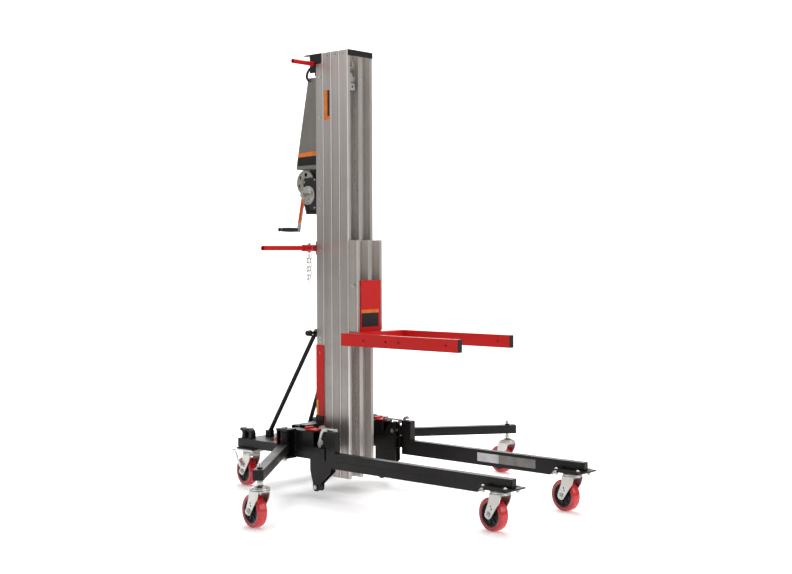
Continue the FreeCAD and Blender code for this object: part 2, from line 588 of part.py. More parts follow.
# ---------------------------------------------------------------- base: housings, cross frame, rear frame, braces
hi, ho = d.housing_inner, d.housing_outer
for s, word in ((-1, "right"), (1, "left")):
    box_part = cut(block(d.housing_rear, d.housing_box_front, hi + 3, ho - 3, d.housing_ledge - 1, d.housing_top, s),
                   block(d.housing_rear + 4, d.housing_box_front + 1, hi + 7, ho - 7, d.housing_ledge + 4, d.housing_top - 4, s))
    tube_part = cut(block(d.housing_rear, d.housing_tube_front, hi, ho, d.housing_base, d.housing_ledge, s),
                    block(d.housing_rear + 4, d.housing_tube_front + 1, hi + 4, ho - 4, d.housing_base + 4, d.housing_ledge - 4, s),
                    block(d.housing_rear - 1, d.housing_tube_front + 2, ho - 1.2, ho + 1, 206, 209, s))
    # two tapered cheek plates carry the leg pin above and the transport roller below
    cheeks = []
    for inner in (d.cheek_inner, d.cheek_outer):
        prof = padded([(-322, d.housing_base + 4), (-322, 118), (-305, 62), (-304, 40), (-296, 28), (-276, 28), (-268, 36),
                       (-266, 60), (-198, 118), (-198, d.housing_top), (-236, d.housing_top), (-276, d.housing_ledge)], "XZ_Plane", d.cheek_thick,
                      word="cheek")
        y_at = (inner + d.cheek_thick) if s > 0 else -1 * inner
        cheeks.append(moved(prof, 0, y_at, 0))
    ear_top = block(-450, -378, ho - 4, 309, d.knuckle_top - 12, d.knuckle_top - 4, s)
    ear_low = block(-450, -378, ho - 4, 309, d.knuckle_base + 4, d.knuckle_base + 12, s)
    ear_back = block(-427, -378, ho - 4, ho + 4, d.knuckle_base + 4, d.knuckle_top - 4, s)
    ear_rear = block(-447, -441, ho - 4, 309, d.knuckle_base + 10, d.knuckle_top - 10, s)
    py = s * num(d.outrigger_pivot_side)
    body_fused = fuse(box_part, tube_part, cheeks[0], cheeks[1], ear_top, ear_low, ear_back, ear_rear)
    tools = [rod(d.leg_pin_radius, 45, d.leg_pivot_along, 190 if s > 0 else -235, d.leg_pivot_height, "y"),
             rod(d.roller_hole, 60, d.roller_axis_along, 180 if s > 0 else -240, d.roller_axis_height, "y"),
             rod(d.pivot_radius + d.running_gap, 160, d.outrigger_pivot_along, py, 150, "z"),
             rod(4.06, 30, d.outrigger_pivot_along - 45, py, 245, "x"),
             ]
    node("side_housing_" + word, cut(body_fused, *tools))

    # leg: upper and lower rail in one weld, upright post and hinge lug behind it
    prof = [(d.post_rear, d.leg_base), (d.leg_slant_start, d.leg_base), (d.leg_slant_end, d.leg_seam), (d.leg_end, d.leg_seam),
            (d.leg_end, d.leg_top), (d.post_front, d.leg_top), (d.post_front, d.post_top), (d.post_rear, d.post_top),
            (d.post_rear, 272), (d.leg_pivot_along, 272), (d.leg_pivot_along - 16, 262), (d.leg_pivot_along - 16, 242),
            (d.leg_pivot_along, 232), (d.post_rear, 232)]
    lw = d.leg_wall
    void = [(d.post_rear + lw, d.leg_base + lw), (d.leg_slant_start - 2, d.leg_base + lw), (d.leg_slant_end - 1, d.leg_seam + lw),
            (d.leg_end + 1, d.leg_seam + lw), (d.leg_end + 1, d.leg_top - lw), (d.post_front - lw, d.leg_top - lw),
            (d.post_front - lw, d.post_top - lw), (d.post_rear + lw, d.post_top - lw)]
    width = d.leg_outer - d.leg_inner
    y_out = d.leg_outer if s > 0 else -1 * d.leg_inner
    shell = moved(padded(prof, "XZ_Plane", width, word="leg"), 0, y_out, 0)
    hollow = moved(padded(void, "XZ_Plane", width - 2 * lw, word="leg_void"), 0, (y_out - lw), 0)
    groove = block(d.post_front - 20, d.leg_slant_end, d.leg_outer - 0.9, d.leg_outer + 1, d.leg_seam - 1.2, d.leg_seam + 1.2, s)
    pin_hole = rod(d.leg_pin_radius + d.running_gap, 60, d.leg_pivot_along, y_out - width - 5, d.leg_pivot_height, "y")
    node("leg_" + word, cut(shell, hollow, groove, pin_hole))

    # caster mount under the toe of the leg: plate, end plug and four bolts
    px, psy = d.front_swivel_along, d.front_swivel_side
    plate = block(px - 68, px + 84, psy - 46, psy + 46, d.caster_height, d.leg_seam - 0.02, s)
    plug = block(d.leg_end - 14, d.leg_end + 3, d.leg_inner + 3.1, d.leg_outer - 3.1, d.leg_seam + 3.1, d.leg_top - 3.1, s)
    bolts = []
    for bx_ in (-1, 1):
        for by_ in (-1, 1):
            bolts.append(hexagon(7.5, 5.5, px + bx_ * d.caster_bolt_along, s * (psy + by_ * d.caster_bolt_side), d.leg_seam - 0.02))
    node("front_caster_mount_" + word, group(plate, plug, top_plate(px, s * psy), *bolts))

    # latch: red pedal on the housing with a zinc hook over the leg's post; turns on its own cross pin
    yl0, yl1 = 196.0, 216.5
    pedal = fuse(block(-336, -267, 197, 246, 293, 297, s), block(-336, -326, 197, 246, 296, 305, s),
                 rod(10, 21, -268, yl0 if s > 0 else -yl1 - 0.5, 303, "y"), block(-274, -250, yl0, yl1, 293, 303, s))
    hook = fuse(block(-262, -180, 206, 217.5, 299, 306, s), block(-188, -178, 201, 217.5, 288, 306, s))
    latch = cut(fuse(pedal, hook), rod(4.06, 60, -268, 190 if s > 0 else -250, 303, "y"))
    node("latch_" + word, latch)

    # transport roller between the cheek plates
    roller = turned([(6.1, -11), (14, -11), (16, -10.5), (18, -9), (18, 9), (16, 10.5), (14, 11), (6.1, 11)], "roller")
    node("transport_roller_" + word, moved(roller, d.roller_axis_along, s * 209.8, d.roller_axis_height, AXES["y"]))

    # outrigger: knuckle, square tube with end cap; made along +X and then swung to its working angle
    tb = d.outrigger_tube
    hole_z = d.outrigger_base - 30
    stem_at = d.outrigger_length
    tube_o = cut(block(14, stem_at + d.outrigger_past, -1 * tb / 2, tb / 2, d.outrigger_base, d.outrigger_base + tb),
                 block(20, stem_at - 16, -1 * tb / 2 + 3, tb / 2 - 3, d.outrigger_base + 3, d.outrigger_base + tb - 3),
                 block(stem_at + 16, stem_at + d.outrigger_past - 3, -1 * tb / 2 + 3, tb / 2 - 3, d.outrigger_base + 3, d.outrigger_base + tb - 3))
    knuckle = rod(18, 103, 0, 0, d.knuckle_base + 16)
    lugs = block(-4, 30, -11, 11, d.knuckle_base + 20, d.knuckle_top - 20)
    arc_slot = cut(rod(19, 12, 0, 0, 239), rod(13, 14, 0, 0, 238))
    out = cut(fuse(tube_o, knuckle, lugs, rod(11, 6, stem_at, 0, d.outrigger_base + tb - 1)),
              rod(d.pivot_radius + d.running_gap, 160, 0, 0, 150), rod(d.stem_radius + d.running_gap, 90, stem_at, 0, hole_z), arc_slot)
    swing = Rotation(Vector(0, 0, 1), s * (90 - num(d.outrigger_angle)))
    node("outrigger_" + word, moved(out, d.outrigger_pivot_along, s * d.outrigger_pivot_side, 0, swing))

    # spring plunger: its tip runs in the knuckle's arc slot, its knob faces the rear
    knob = fuse(rod(4.0, 36, 0, 0, 0), rod(6, 6, 0, 0, 20.5), cone(8.5, 11.5, 14, 0, 0, 24), cone(11.5, 9.0, 5, 0, 0, 38))
    node("outrigger_plunger_" + word, moved(knob, d.outrigger_pivot_along - 15.5, s * d.outrigger_pivot_side, 245, AXES["-x"]))

    # levelling stem: threaded rod with collar nuts above and below, fixed to the caster's race
    grooves = [ring(d.stem_radius + 0.35, 0.75, 0, 0, 238 + 2.5 * k) for k in range(6)]
    stem = fuse(cut(rod(d.stem_radius, 255 - 141, 0, 0, 141), *grooves), hexagon(11, 8, 0, 0, 173), rod(12, 2, 0, 0, 181),
                rod(11, 4, 0, 0, 137.5))
    node("levelling_stem_" + word, moved(stem, d.outer_swivel_along, s * d.outer_swivel_side, 0))

# cross frame: transverse beam on each side of the mast foot, rear beam behind it
cross = [block(-426, -384, half + t3, hi, 182, 302, s) for s in (-1, 1)]
cross_void = [block(-422, -388, half + t3 + 4, hi + 1, 186, 298, s) for s in (-1, 1)]
rear_beam = cut(block(-478, d.mast_rear - t3, -hi, hi, 205, 297), block(-474, d.mast_rear - t3 - 4, -hi - 1, hi + 1, 209, 293))
shelf = block(-478, -384, -hi, hi, 176, 182)
tongue = block(-428.4, -379, half + t3, half + t3 + 5, 302, 332, -1)
tongue_left = block(-428.4, -379, half + t3, half + t3 + 5, 302, 332, 1)
cross_body = cut(fuse(*cross, rear_beam, shelf, tongue, tongue_left), *cross_void, block(d.mast_rear - t3, -375, -half - t3, half + t3, 170, 340))
node("base_crossframe", cross_body)

# rear frame: side tubes, cross plate, storage hooks and caster pads, welded
parts_rear = []
rear_cut = []
for s in (-1, 1):
    parts_rear.append(cut(block(d.rear_end, d.housing_rear, d.rear_tube_inner, d.rear_tube_outer, d.rear_tube_base, d.rear_tube_top, s),
                          block(d.rear_end + 3, d.housing_rear - 3, d.rear_tube_inner + 3, d.rear_tube_outer - 3, d.rear_tube_base + 3,
                                d.rear_tube_top - 3, s)))
    rpx, rpy = d.rear_swivel_along, d.rear_swivel_side
    parts_rear.append(block(rpx - 55, rpx + 55, rpy - 44, rpy + 44, d.caster_height, d.rear_tube_base + 0.5, s))
    for hook_at in (-750, -704):
        prof = padded([(hook_at - 9, 216), (hook_at + 13, 216), (hook_at + 13, 240), (hook_at + 8, 254), (hook_at - 2, 262), (hook_at - 16, 264),
                       (hook_at - 20, 258), (hook_at - 19, 249), (hook_at - 13, 252), (hook_at - 7, 247), (hook_at - 4, 238)], "XZ_Plane", 26,
                      word="hook")
        parts_rear.append(moved(prof, 0, 238 if s > 0 else -212, 0))
parts_rear.append(block(d.rear_plate_rear, d.rear_plate_front, -d.rear_tube_inner - 1, d.rear_tube_inner + 1, 205, d.rear_tube_top))
parts_rear.append(block(-500, -478.02, -d.rear_tube_inner - 1, d.rear_tube_inner + 1, 180, 214))
node("rear_frame", fuse(*parts_rear))


def strut(p, q, radius):
    """Round bar between two points."""
    v = q.sub(p)
    return Part.makeCylinder(radius, v.Length, p, v)


brace_solids = []
for s in (-1, 1):
    top = Vector(num(d.brace_top_along), s * num(d.brace_top_side), num(d.brace_top_height))
    foot_p = Vector(num(d.brace_foot_along), s * num(d.brace_foot_side), num(d.brace_foot_height))
    run_v = foot_p.sub(top)
    run_v.normalize()
    bar_s = strut(top + run_v * 16, foot_p - run_v * 12, num(d.brace_radius))
    eye = Part.makeCylinder(12, 12, Vector(top.x, top.y - 6, top.z), Vector(0, 1, 0)).fuse(
        strut(top, top + run_v * 30, 5.5)).cut(Part.makeCylinder(6.05, 30, Vector(top.x, top.y - 15, top.z), Vector(0, 1, 0)))
    toe = Part.makeCylinder(12, 12, Vector(foot_p.x, foot_p.y - 6, foot_p.z), Vector(0, 1, 0)).fuse(strut(foot_p, foot_p - run_v * 30, 5.5))
    clevis = Part.makeBox(34, 5, 30, Vector(foot_p.x - 17, foot_p.y - 11.5, 217)).fuse(
        [Part.makeBox(34, 5, 30, Vector(foot_p.x - 17, foot_p.y + 6.5, 217)), Part.makeBox(34, 13.6, 3, Vector(foot_p.x - 17, foot_p.y - 6.8, 217)),
         Part.makeCylinder(4.5, 29, Vector(foot_p.x, foot_p.y - 14.5, foot_p.z), Vector(0, 1, 0))])
    whole = bar_s
    for extra in (eye, toe, clevis):
        whole = whole.fuse(extra)
    brace_solids.append(coded(whole, "brace"))
node("rear_braces", group(*brace_solids))

# cross pin with its knob and the bracket plates on the mast that carry the braces
bt, bh = num(d.brace_top_along), num(d.brace_top_height)
lug_plates = [block(bt - 16, d.mast_rear, 45, 53, bh - 20, bh + 16, s) for s in (-1, 1)]
lug_back = block(d.mast_rear - 5, d.mast_rear, -70, 70, bh - 50, bh + 16)
pin = rod(6.0, 196, bt, -108, bh, "y")
knob_solid = fuse(rod(9, 6, bt, -92, bh, "y"), cone(15, 12, 22, bt, -94, bh, "-y"))
node("brace_pin_bracket", fuse(*lug_plates, lug_back, pin, knob_solid, hexagon(10, 8, bt, 80, bh, "y")))


# ---------------------------------------------------------------- casters
def yoke_shape(plate, brake_side=0):
    """Swivel yoke about a vertical axis at the origin; the wheel trails along +X."""
    gap, ck, trail, top = d.cheek_gap, d.yoke_cheek, d.caster_trail, d.caster_height
    strap = [(-26, 150), (-30, 141), (-22, 118), (22, 58), (29, 51), (40, 48), (51, 52), (56.5, 62), (55, 74), (36, 118), (33, 150)]
    cheeks = []
    for s in (-1, 1):
        prof = padded(strap, "XZ_Plane", ck, word="cheek")
        cheeks.append(moved(prof, 0, gap + ck if s > 0 else -gap, 0))
    parts = cheeks + [block(-27, 34, -gap - ck, gap + ck, 144, 149.5), rod(37, 5, 0, 0, 147),
                      rod(d.race_radius, 6, 0, 0, 153), rod(31, 3, 0, 0, 150.5), rod(33, 3.5, 0, 0, 158.5)]
    if not plate:
        parts.append(cone(30, 14, 8, 0, 0, 161))
    parts.append(rod(d.axle_radius, 2 * num(gap) + 18, trail, -num(gap) - 9, d.wheel_radius, "y"))
    parts.append(hexagon(10, 6, trail, -num(gap) - 10, d.wheel_radius, "y"))
    parts.append(hexagon(10, 6, trail, num(gap) + 4, d.wheel_radius, "y"))
    if brake_side:
        parts += [rod(4.0, 13.5, 34, num(gap) + 3, 98, "y"), rod(6.5, 2.2, 34, num(gap) + 15.6, 98, "y")]
    window = fuse(rod(3.6, 80, 20, -40, 90, "y"), rod(3.6, 80, 24, -40, 100, "y"))
    return cut(fuse(*parts), window)


wheel_profile = [(d.axle_radius + d.running_gap, -23), (17, -23), (17, -14), (44, -11), (46, -19), (50, -20.5), (54, -22), (61, -21),
                 (64, -17), (65, -10), (65, 10), (64, 17), (61, 21), (54, 22), (50, 20.5), (46, 19), (44, 11), (17, 14), (17, 23),
                 (d.axle_radius + d.running_gap, 23)]
CASTERS = {
    "front_right": (d.front_swivel_along, -d.front_swivel_side, 169.5, True),
    "front_left": (d.front_swivel_along, d.front_swivel_side, 169.5, True),
    "outer_right": (d.outer_swivel_along, -d.outer_swivel_side, 169.5, False),
    "outer_left": (d.outer_swivel_along, d.outer_swivel_side, 169.5, False),
    "rear_right": (d.rear_swivel_along, -d.rear_swivel_side, 169.5, True),
    "rear_left": (d.rear_swivel_along, d.rear_swivel_side, -8.0, True),
}
for word, (cx, cy, yaw, plate) in CASTERS.items():
    turn = Rotation(Vector(0, 0, 1), yaw)
    y_obj = cut(yoke_shape(plate, word.startswith("rear")), rod(8 + d.running_gap if plate else d.stem_radius + d.running_gap, 60, 0, 0, 130))
    node("caster_yoke_" + word, moved(y_obj, cx, cy, 0, turn))
    wheel = turned(wheel_profile, "wheel")
    off = turn.multVec(Vector(num(d.caster_trail), 0, num(d.wheel_radius)))
    node("wheel_" + word, moved(wheel, cx + off.x, cy + off.y, off.z, turn.multiply(AXES["y"])))

# brake levers of the rear casters: strap outside the cheek, on a short stud through it
for word, s, yaw in (("right", -1, 169.5), ("left", 1, -8.0)):
    turn = Rotation(Vector(0, 0, 1), yaw)
    strap = padded([(28, 88), (36, 84), (44, 92), (66, 118), (76, 140), (88, 156), (96, 160), (95, 166), (84, 163), (68, 146), (56, 124),
                    (36, 107), (28, 100)], "XZ_Plane", 4, word="lever")
    # the strap lies on the outer side of the machine
    strap = moved(strap, 0, 40.6, 0)
    pad_top = block(80, 97, 36.6, 54, 158.5, 163)
    lever = cut(fuse(strap, pad_top), rod(4.06, 30, 34, 25, 98, "y"))
    px, py = (d.rear_swivel_along, s * d.rear_swivel_side)
    node("brake_lever_" + word, moved(lever, px, py, 0, turn))

# ---------------------------------------------------------------- fasteners of the standing frame
heads = []
for zz in (1854, 1671, 1491, 1352, 1306, 1262, 1102, 1074, 684, 664):
    for s in (-1, 1):
        heads.append(rod(6.0, 2.5, -402, half + 0.0 if s > 0 else -half - 2.5, zz, "y"))
for s in (-1, 1):
    heads.append(fuse(rod(d.pivot_radius, d.knuckle_top - d.knuckle_base + 12, d.outrigger_pivot_along, s * d.outrigger_pivot_side,
                          d.knuckle_base - 8), hexagon(12, 8, d.outrigger_pivot_along, s * d.outrigger_pivot_side, d.knuckle_top - 4),
                      hexagon(12, 7, d.outrigger_pivot_along, s * d.outrigger_pivot_side, d.knuckle_base - 10)))
    # leg hinge pins and roller bolts
    heads.append(fuse(rod(d.leg_pin_radius, 70, d.leg_pivot_along, 192 if s > 0 else -262, d.leg_pivot_height, "y"),
                      rod(13, 4, d.leg_pivot_along, 260.2 if s > 0 else -264.2, d.leg_pivot_height, "y")))
    heads.append(fuse(rod(d.roller_hole, 48, d.roller_axis_along, 186 if s > 0 else -234, d.roller_axis_height, "y"),
                      hexagon(10, 6, d.roller_axis_along, 226.8 if s > 0 else -232.8, d.roller_axis_height, "y"),
                      hexagon(10, 6, d.roller_axis_along, 187 if s > 0 else -193, d.roller_axis_height, "y")))
    heads.append(rod(4.0, 30, -268, 190 if s > 0 else -220, 303, "y"))
for s in (-1, 1):
    heads.append(top_plate(d.rear_swivel_along, s * d.rear_swivel_side))
node("base_hardware", group(*heads))

# ---------------------------------------------------------------- check and write
doc.recompute()
broken = [o.Name for o in doc.Objects if any(word in o.State for word in ("Invalid", "Error"))]
if broken:
    raise SystemExit("failed objects: " + ", ".join(broken[:20]))
bad = []
for name, obj in NODES.items():
    shape = obj.Shape
    if shape.isNull() or not shape.isValid() or not shape.Solids:
        bad.append(name)
if bad:
    raise SystemExit("bad shapes: " + ", ".join(bad))
if len(NODES) > 60:
    raise SystemExit("too many nodes: %d" % len(NODES))
low = [1e9] * 3
high = [-1e9] * 3
for name, obj in NODES.items():
    obj.Shape.exportStep("parts/%s.step" % name)
    box = obj.Shape.BoundBox
    for axis, (lo, hi_) in enumerate(((box.XMin, box.XMax), (box.YMin, box.YMax), (box.ZMin, box.ZMax))):
        low[axis], high[axis] = min(low[axis], lo), max(high[axis], hi_)
    print("%-28s %2d solids %10.1f cm3  x %7.1f %7.1f  y %7.1f %7.1f  z %7.1f %7.1f" % (
        name, len(obj.Shape.Solids), obj.Shape.Volume / 1000.0, box.XMin, box.XMax, box.YMin, box.YMax, box.ZMin, box.ZMax))
print("nodes", len(NODES), "low", [round(v, 1) for v in low], "high", [round(v, 1) for v in high])
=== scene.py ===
import json
import math

import bmesh
import bpy
from mathutils import Matrix, Vector


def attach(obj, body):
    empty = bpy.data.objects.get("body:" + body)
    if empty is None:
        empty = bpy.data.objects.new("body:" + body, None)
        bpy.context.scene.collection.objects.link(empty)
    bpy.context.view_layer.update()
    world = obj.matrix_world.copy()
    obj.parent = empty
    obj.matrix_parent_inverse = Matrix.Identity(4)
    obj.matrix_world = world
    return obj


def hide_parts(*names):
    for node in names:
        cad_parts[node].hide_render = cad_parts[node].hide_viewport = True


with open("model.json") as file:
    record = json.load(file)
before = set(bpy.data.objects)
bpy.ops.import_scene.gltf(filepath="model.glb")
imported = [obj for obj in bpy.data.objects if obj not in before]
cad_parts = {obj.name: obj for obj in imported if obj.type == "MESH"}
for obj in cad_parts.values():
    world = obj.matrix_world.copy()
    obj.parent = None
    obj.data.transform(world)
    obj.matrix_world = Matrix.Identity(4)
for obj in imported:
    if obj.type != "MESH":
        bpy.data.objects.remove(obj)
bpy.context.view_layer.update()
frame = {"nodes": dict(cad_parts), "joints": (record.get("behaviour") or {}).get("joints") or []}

N = frame["nodes"]
JOINT = {j["name"]: j for j in frame["joints"]}

# ------------------------------------------------------------------ camera
AZ = math.radians(41.795)
F = Vector((-math.sin(AZ), math.cos(AZ), 0.0))
RIGHT = Vector((math.cos(AZ), math.sin(AZ), 0.0))
UP = Vector((0.0, 0.0, 1.0))
cam_data = bpy.data.cameras.new("photo_camera")
cam = bpy.data.objects.new("photo_camera", cam_data)
bpy.context.scene.collection.objects.link(cam)
rot = Matrix((RIGHT, UP, -F)).transposed().to_4x4() @ Matrix.Rotation(math.radians(-0.254), 4, "Z")
cam.matrix_world = Matrix.Translation(Vector((3.541, -3.979, 1.055))) @ rot
cam_data.sensor_width = 36.0
cam_data.lens = 1231.78 / 792.0 * 36.0
cam_data.shift_y = -32.6 / 792.0
cam_data.clip_end = 500.0
bpy.context.scene.camera = cam


# ------------------------------------------------------------------ material tools
class Graph:
    """Small helper that builds a node material."""

    def __init__(self, name):
        self.m = bpy.data.materials.new(name)
        self.m.use_nodes = True
        self.t = self.m.node_tree
        self.b = self.t.nodes["Principled BSDF"]
        self.co = self.t.nodes.new("ShaderNodeTexCoord")

    def node(self, kind, **sets):
        n = self.t.nodes.new(kind)
        for k, v in sets.items():
            if k in n.inputs:
                self.put(n.inputs[k], v)
            else:
                setattr(n, k, v)
        return n

    def put(self, socket, v):
        if hasattr(v, "node"):
            self.t.links.new(v, socket)
        elif hasattr(v, "outputs"):
            self.t.links.new(v.outputs[0], socket)
        else:
            socket.default_value = v

    def set(self, **kv):
        for k, v in kv.items():
            self.put(self.b.inputs[k.replace("_", " ")], v)

    def coords(self, scale=(1, 1, 1), rotation=(0, 0, 0)):
        mp = self.t.nodes.new("ShaderNodeMapping")
        mp.inputs["Scale"].default_value = scale
        mp.inputs["Rotation"].default_value = rotation
        self.t.links.new(self.co.outputs["Object"], mp.inputs["Vector"])
        return mp.outputs["Vector"]

    def noise(self, scale, detail=3.0, rough=0.5, at=None):
        n = self.t.nodes.new("ShaderNodeTexNoise")
        n.inputs["Scale"].default_value = scale
        n.inputs["Detail"].default_value = detail
        n.inputs["Roughness"].default_value = rough
        self.t.links.new(at if at is not None else self.co.outputs["Object"], n.inputs["Vector"])
        return n.outputs["Fac"]

    def ramp(self, fac, stops):
        r = self.t.nodes.new("ShaderNodeValToRGB")
        el = r.color_ramp.elements
        while len(el) < len(stops):
            el.new(0.5)
        for e, (p, c) in zip(el, stops):
            e.position = p
            e.color = c if len(c) == 4 else (*c, 1.0)
        self.t.links.new(fac, r.inputs["Fac"])
        return r.outputs["Color"]

    def rangemap(self, fac, a, b, lo, hi):
        r = self.t.nodes.new("ShaderNodeMapRange")
        r.inputs["From Min"].default_value = a
        r.inputs["From Max"].default_value = b
        r.inputs["To Min"].default_value = lo
        r.inputs["To Max"].default_value = hi
        self.t.links.new(fac, r.inputs["Value"])
        return r.outputs["Result"]

    def mix(self, fac, a, b, mode="MIX"):
        n = self.t.nodes.new("ShaderNodeMix")
        n.data_type = "RGBA"
        n.blend_type = mode
        self.put(n.inputs[0], fac)
        self.put(n.inputs[6], a)
        self.put(n.inputs[7], b)
        return n.outputs[2]

    def math(self, op, a, b=0.0):
        n = self.t.nodes.new("ShaderNodeMath")
        n.operation = op
        self.put(n.inputs[0], a)
        self.put(n.inputs[1], b)
        return n.outputs[0]

    def bump(self, height, strength=0.1, distance=0.001, edge=0.0012):
        n = self.t.nodes.new("ShaderNodeBump")
        n.inputs["Strength"].default_value = strength
        n.inputs["Distance"].default_value = distance
        self.put(n.inputs["Height"], height)
        if edge:
            bv = self.t.nodes.new("ShaderNodeBevel")
            bv.samples = 4
            bv.inputs["Radius"].default_value = edge
            self.t.links.new(bv.outputs["Normal"], n.inputs["Normal"])
        self.t.links.new(n.outputs["Normal"], self.b.inputs["Normal"])

    def edge_wear(self, amount=0.6, radius=0.002):
        """0 on flats, towards 1 on convex edges."""
        geo = self.t.nodes.new("ShaderNodeNewGeometry")
        bv = self.t.nodes.new("ShaderNodeBevel")
        bv.samples = 4
        bv.inputs["Radius"].default_value = radius
        dot = self.t.nodes.new("ShaderNodeVectorMath")
        dot.operation = "DOT_PRODUCT"
        self.t.links.new(geo.outputs["Normal"], dot.inputs[0])
        self.t.links.new(bv.outputs["Normal"], dot.inputs[1])
        n = self.noise(260.0, 4.0, 0.6)
        edge = self.rangemap(dot.outputs["Value"], 0.995, 0.93, 0.0, 1.0)
        return self.math("MULTIPLY", self.math("MULTIPLY", edge, self.rangemap(n, 0.42, 0.62, 0.0, 1.0)), amount)


def aluminium(name, tint=(0.50, 0.475, 0.45), dark=(0.36, 0.335, 0.315)):
    g = Graph(name)
    lines = g.noise(1.0, 6.0, 0.65, g.coords((420, 420, 1.1)))
    wide = g.noise(1.0, 3.0, 0.5, g.coords((38, 38, 0.7)))
    smudge = g.noise(5.5, 5.0, 0.6)
    speck = g.noise(300.0, 2.0, 0.5)
    col = g.mix(g.rangemap(lines, 0.3, 0.7, 0.0, 1.0), (*dark, 1), (*tint, 1))
    col = g.mix(g.rangemap(wide, 0.35, 0.7, 0.0, 0.45), col, (tint[0] * 1.28, tint[1] * 1.27, tint[2] * 1.26, 1))
    col = g.mix(g.rangemap(smudge, 0.52, 0.74, 0.0, 0.30), col, (dark[0] * 0.8, dark[1] * 0.76, dark[2] * 0.74, 1))
    wear = g.edge_wear(0.8, 0.0016)
    col = g.mix(wear, col, (0.82, 0.80, 0.78, 1))
    g.set(Base_Color=col, Metallic=0.88, Roughness=g.math("ADD", g.rangemap(smudge, 0.3, 0.7, 0.34, 0.46), g.rangemap(speck, 0.3, 0.7, 0.0, 0.05)))
    g.b.inputs["Anisotropic"].default_value = 0.35
    g.bump(g.math("ADD", lines, g.math("MULTIPLY", wide, 0.5)), 0.22, 0.0004, 0.0009)
    return g.m


def powder(name, base, rough=0.36, coat=0.25, scuff=(0.12, 0.115, 0.11), orange=0.10, wear=0.5, scale=900.0, spec=0.32):
    """Powder coat: orange-peel skin, dust, and scuffs on the edges."""
    g = Graph(name)
    peel = g.noise(scale, 3.0, 0.5)
    cloud = g.noise(7.0, 4.0, 0.55)
    grit = g.noise(2300.0, 2.0, 0.5)
    col = g.mix(g.rangemap(cloud, 0.35, 0.7, 0.0, 0.35), (*base, 1), (base[0] * 0.72, base[1] * 0.72, base[2] * 0.72, 1))
    col = g.mix(g.edge_wear(wear, 0.0018), col, (*scuff, 1))
    g.set(Base_Color=col, Roughness=g.math("ADD", g.rangemap(cloud, 0.3, 0.7, rough - 0.04, rough + 0.08), g.rangemap(grit, 0.3, 0.7, 0.0, 0.05)))
    g.set(Coat_Weight=coat, Coat_Roughness=0.18, Specular_IOR_Level=spec)
    g.bump(peel, orange, 0.0005, 0.0014)
    return g.m


def zinc(name, tint=(0.56, 0.565, 0.57), rough=0.26, yellow=0.10):
    """Bright zinc plate: spangle, faint yellow-blue passivation, fine scratches."""
    g = Graph(name)
    sp = g.t.nodes.new("ShaderNodeTexVoronoi")
    sp.inputs["Scale"].default_value = 330.0
    g.t.links.new(g.co.outputs["Object"], sp.inputs["Vector"])
    cloud = g.noise(22.0, 4.0, 0.6)
    scr = g.noise(1.0, 3.0, 0.6, g.coords((900, 60, 900), (0.3, 0.5, 0.2)))
    col = g.mix(g.rangemap(cloud, 0.35, 0.68, 0.0, 1.0), (*tint, 1), (tint[0] * 1.06, tint[1] * 1.02, tint[2] * (0.96 - yellow * 0.6), 1))
    col = g.mix(0.22, col, sp.outputs["Color"], "SOFT_LIGHT")
    pit = g.noise(160.0, 5.0, 0.7)
    col = g.mix(g.rangemap(pit, 0.62, 0.78, 0.0, 0.5), col, (0.34, 0.33, 0.32, 1))
    g.set(Base_Color=col, Metallic=1.0, Roughness=g.math("ADD", g.rangemap(cloud, 0.3, 0.7, rough - 0.03, rough + 0.12), g.rangemap(scr, 0.3, 0.7, 0.0, 0.08)))
    g.bump(scr, 0.06, 0.0003, 0.0008)
    return g.m


def plastic(name, base, rough=0.5, grain=1500.0, strength=0.14, edge=0.0012, coat=0.0):
    g = Graph(name)
    gr = g.noise(grain, 3.0, 0.6)
    cloud = g.noise(30.0, 4.0, 0.6)
    col = g.mix(g.rangemap(cloud, 0.35, 0.7, 0.0, 1.0), (*base, 1), (base[0] * 0.7 + 0.004, base[1] * 0.7 + 0.004, base[2] * 0.7 + 0.004, 1))
    g.set(Base_Color=col, Roughness=g.rangemap(cloud, 0.3, 0.7, rough - 0.06, rough + 0.07), Coat_Weight=coat, Specular_IOR_Level=0.26)
    g.bump(gr, strength, 0.0004, edge)
    return g.m


def polyurethane(name, base, side=False):
    """Cast red polyurethane: a little translucent, glossy, with moulding haze and floor dust."""
    g = Graph(name)
    haze = g.noise(24.0, 3.0, 0.5)
    fine = g.noise(700.0, 3.0, 0.6)
    dust = g.noise(150.0, 5.0, 0.7)
    pale = (min(1, base[0] * 1.15), base[1] * 1.9 + 0.012, base[2] * 1.9 + 0.012, 1)
    col = g.mix(g.rangemap(haze, 0.35, 0.7, 0.0, 0.30), (*base, 1), pale)
    col = g.mix(g.rangemap(dust, 0.60, 0.75, 0.0, 0.20), col, (base[0] * 0.55, base[1] + 0.03, base[2] + 0.03, 1))
    g.set(Base_Color=col, Roughness=g.rangemap(haze, 0.3, 0.7, 0.20 if not side else 0.32, 0.34 if not side else 0.46))
    g.set(Subsurface_Weight=0.25, Subsurface_Radius=(0.010, 0.002, 0.002), Coat_Weight=0.35, Coat_Roughness=0.15)
    g.b.inputs["Subsurface Scale"].default_value = 0.6
    g.bump(fine, 0.05, 0.0004, 0.0)
    return g.m


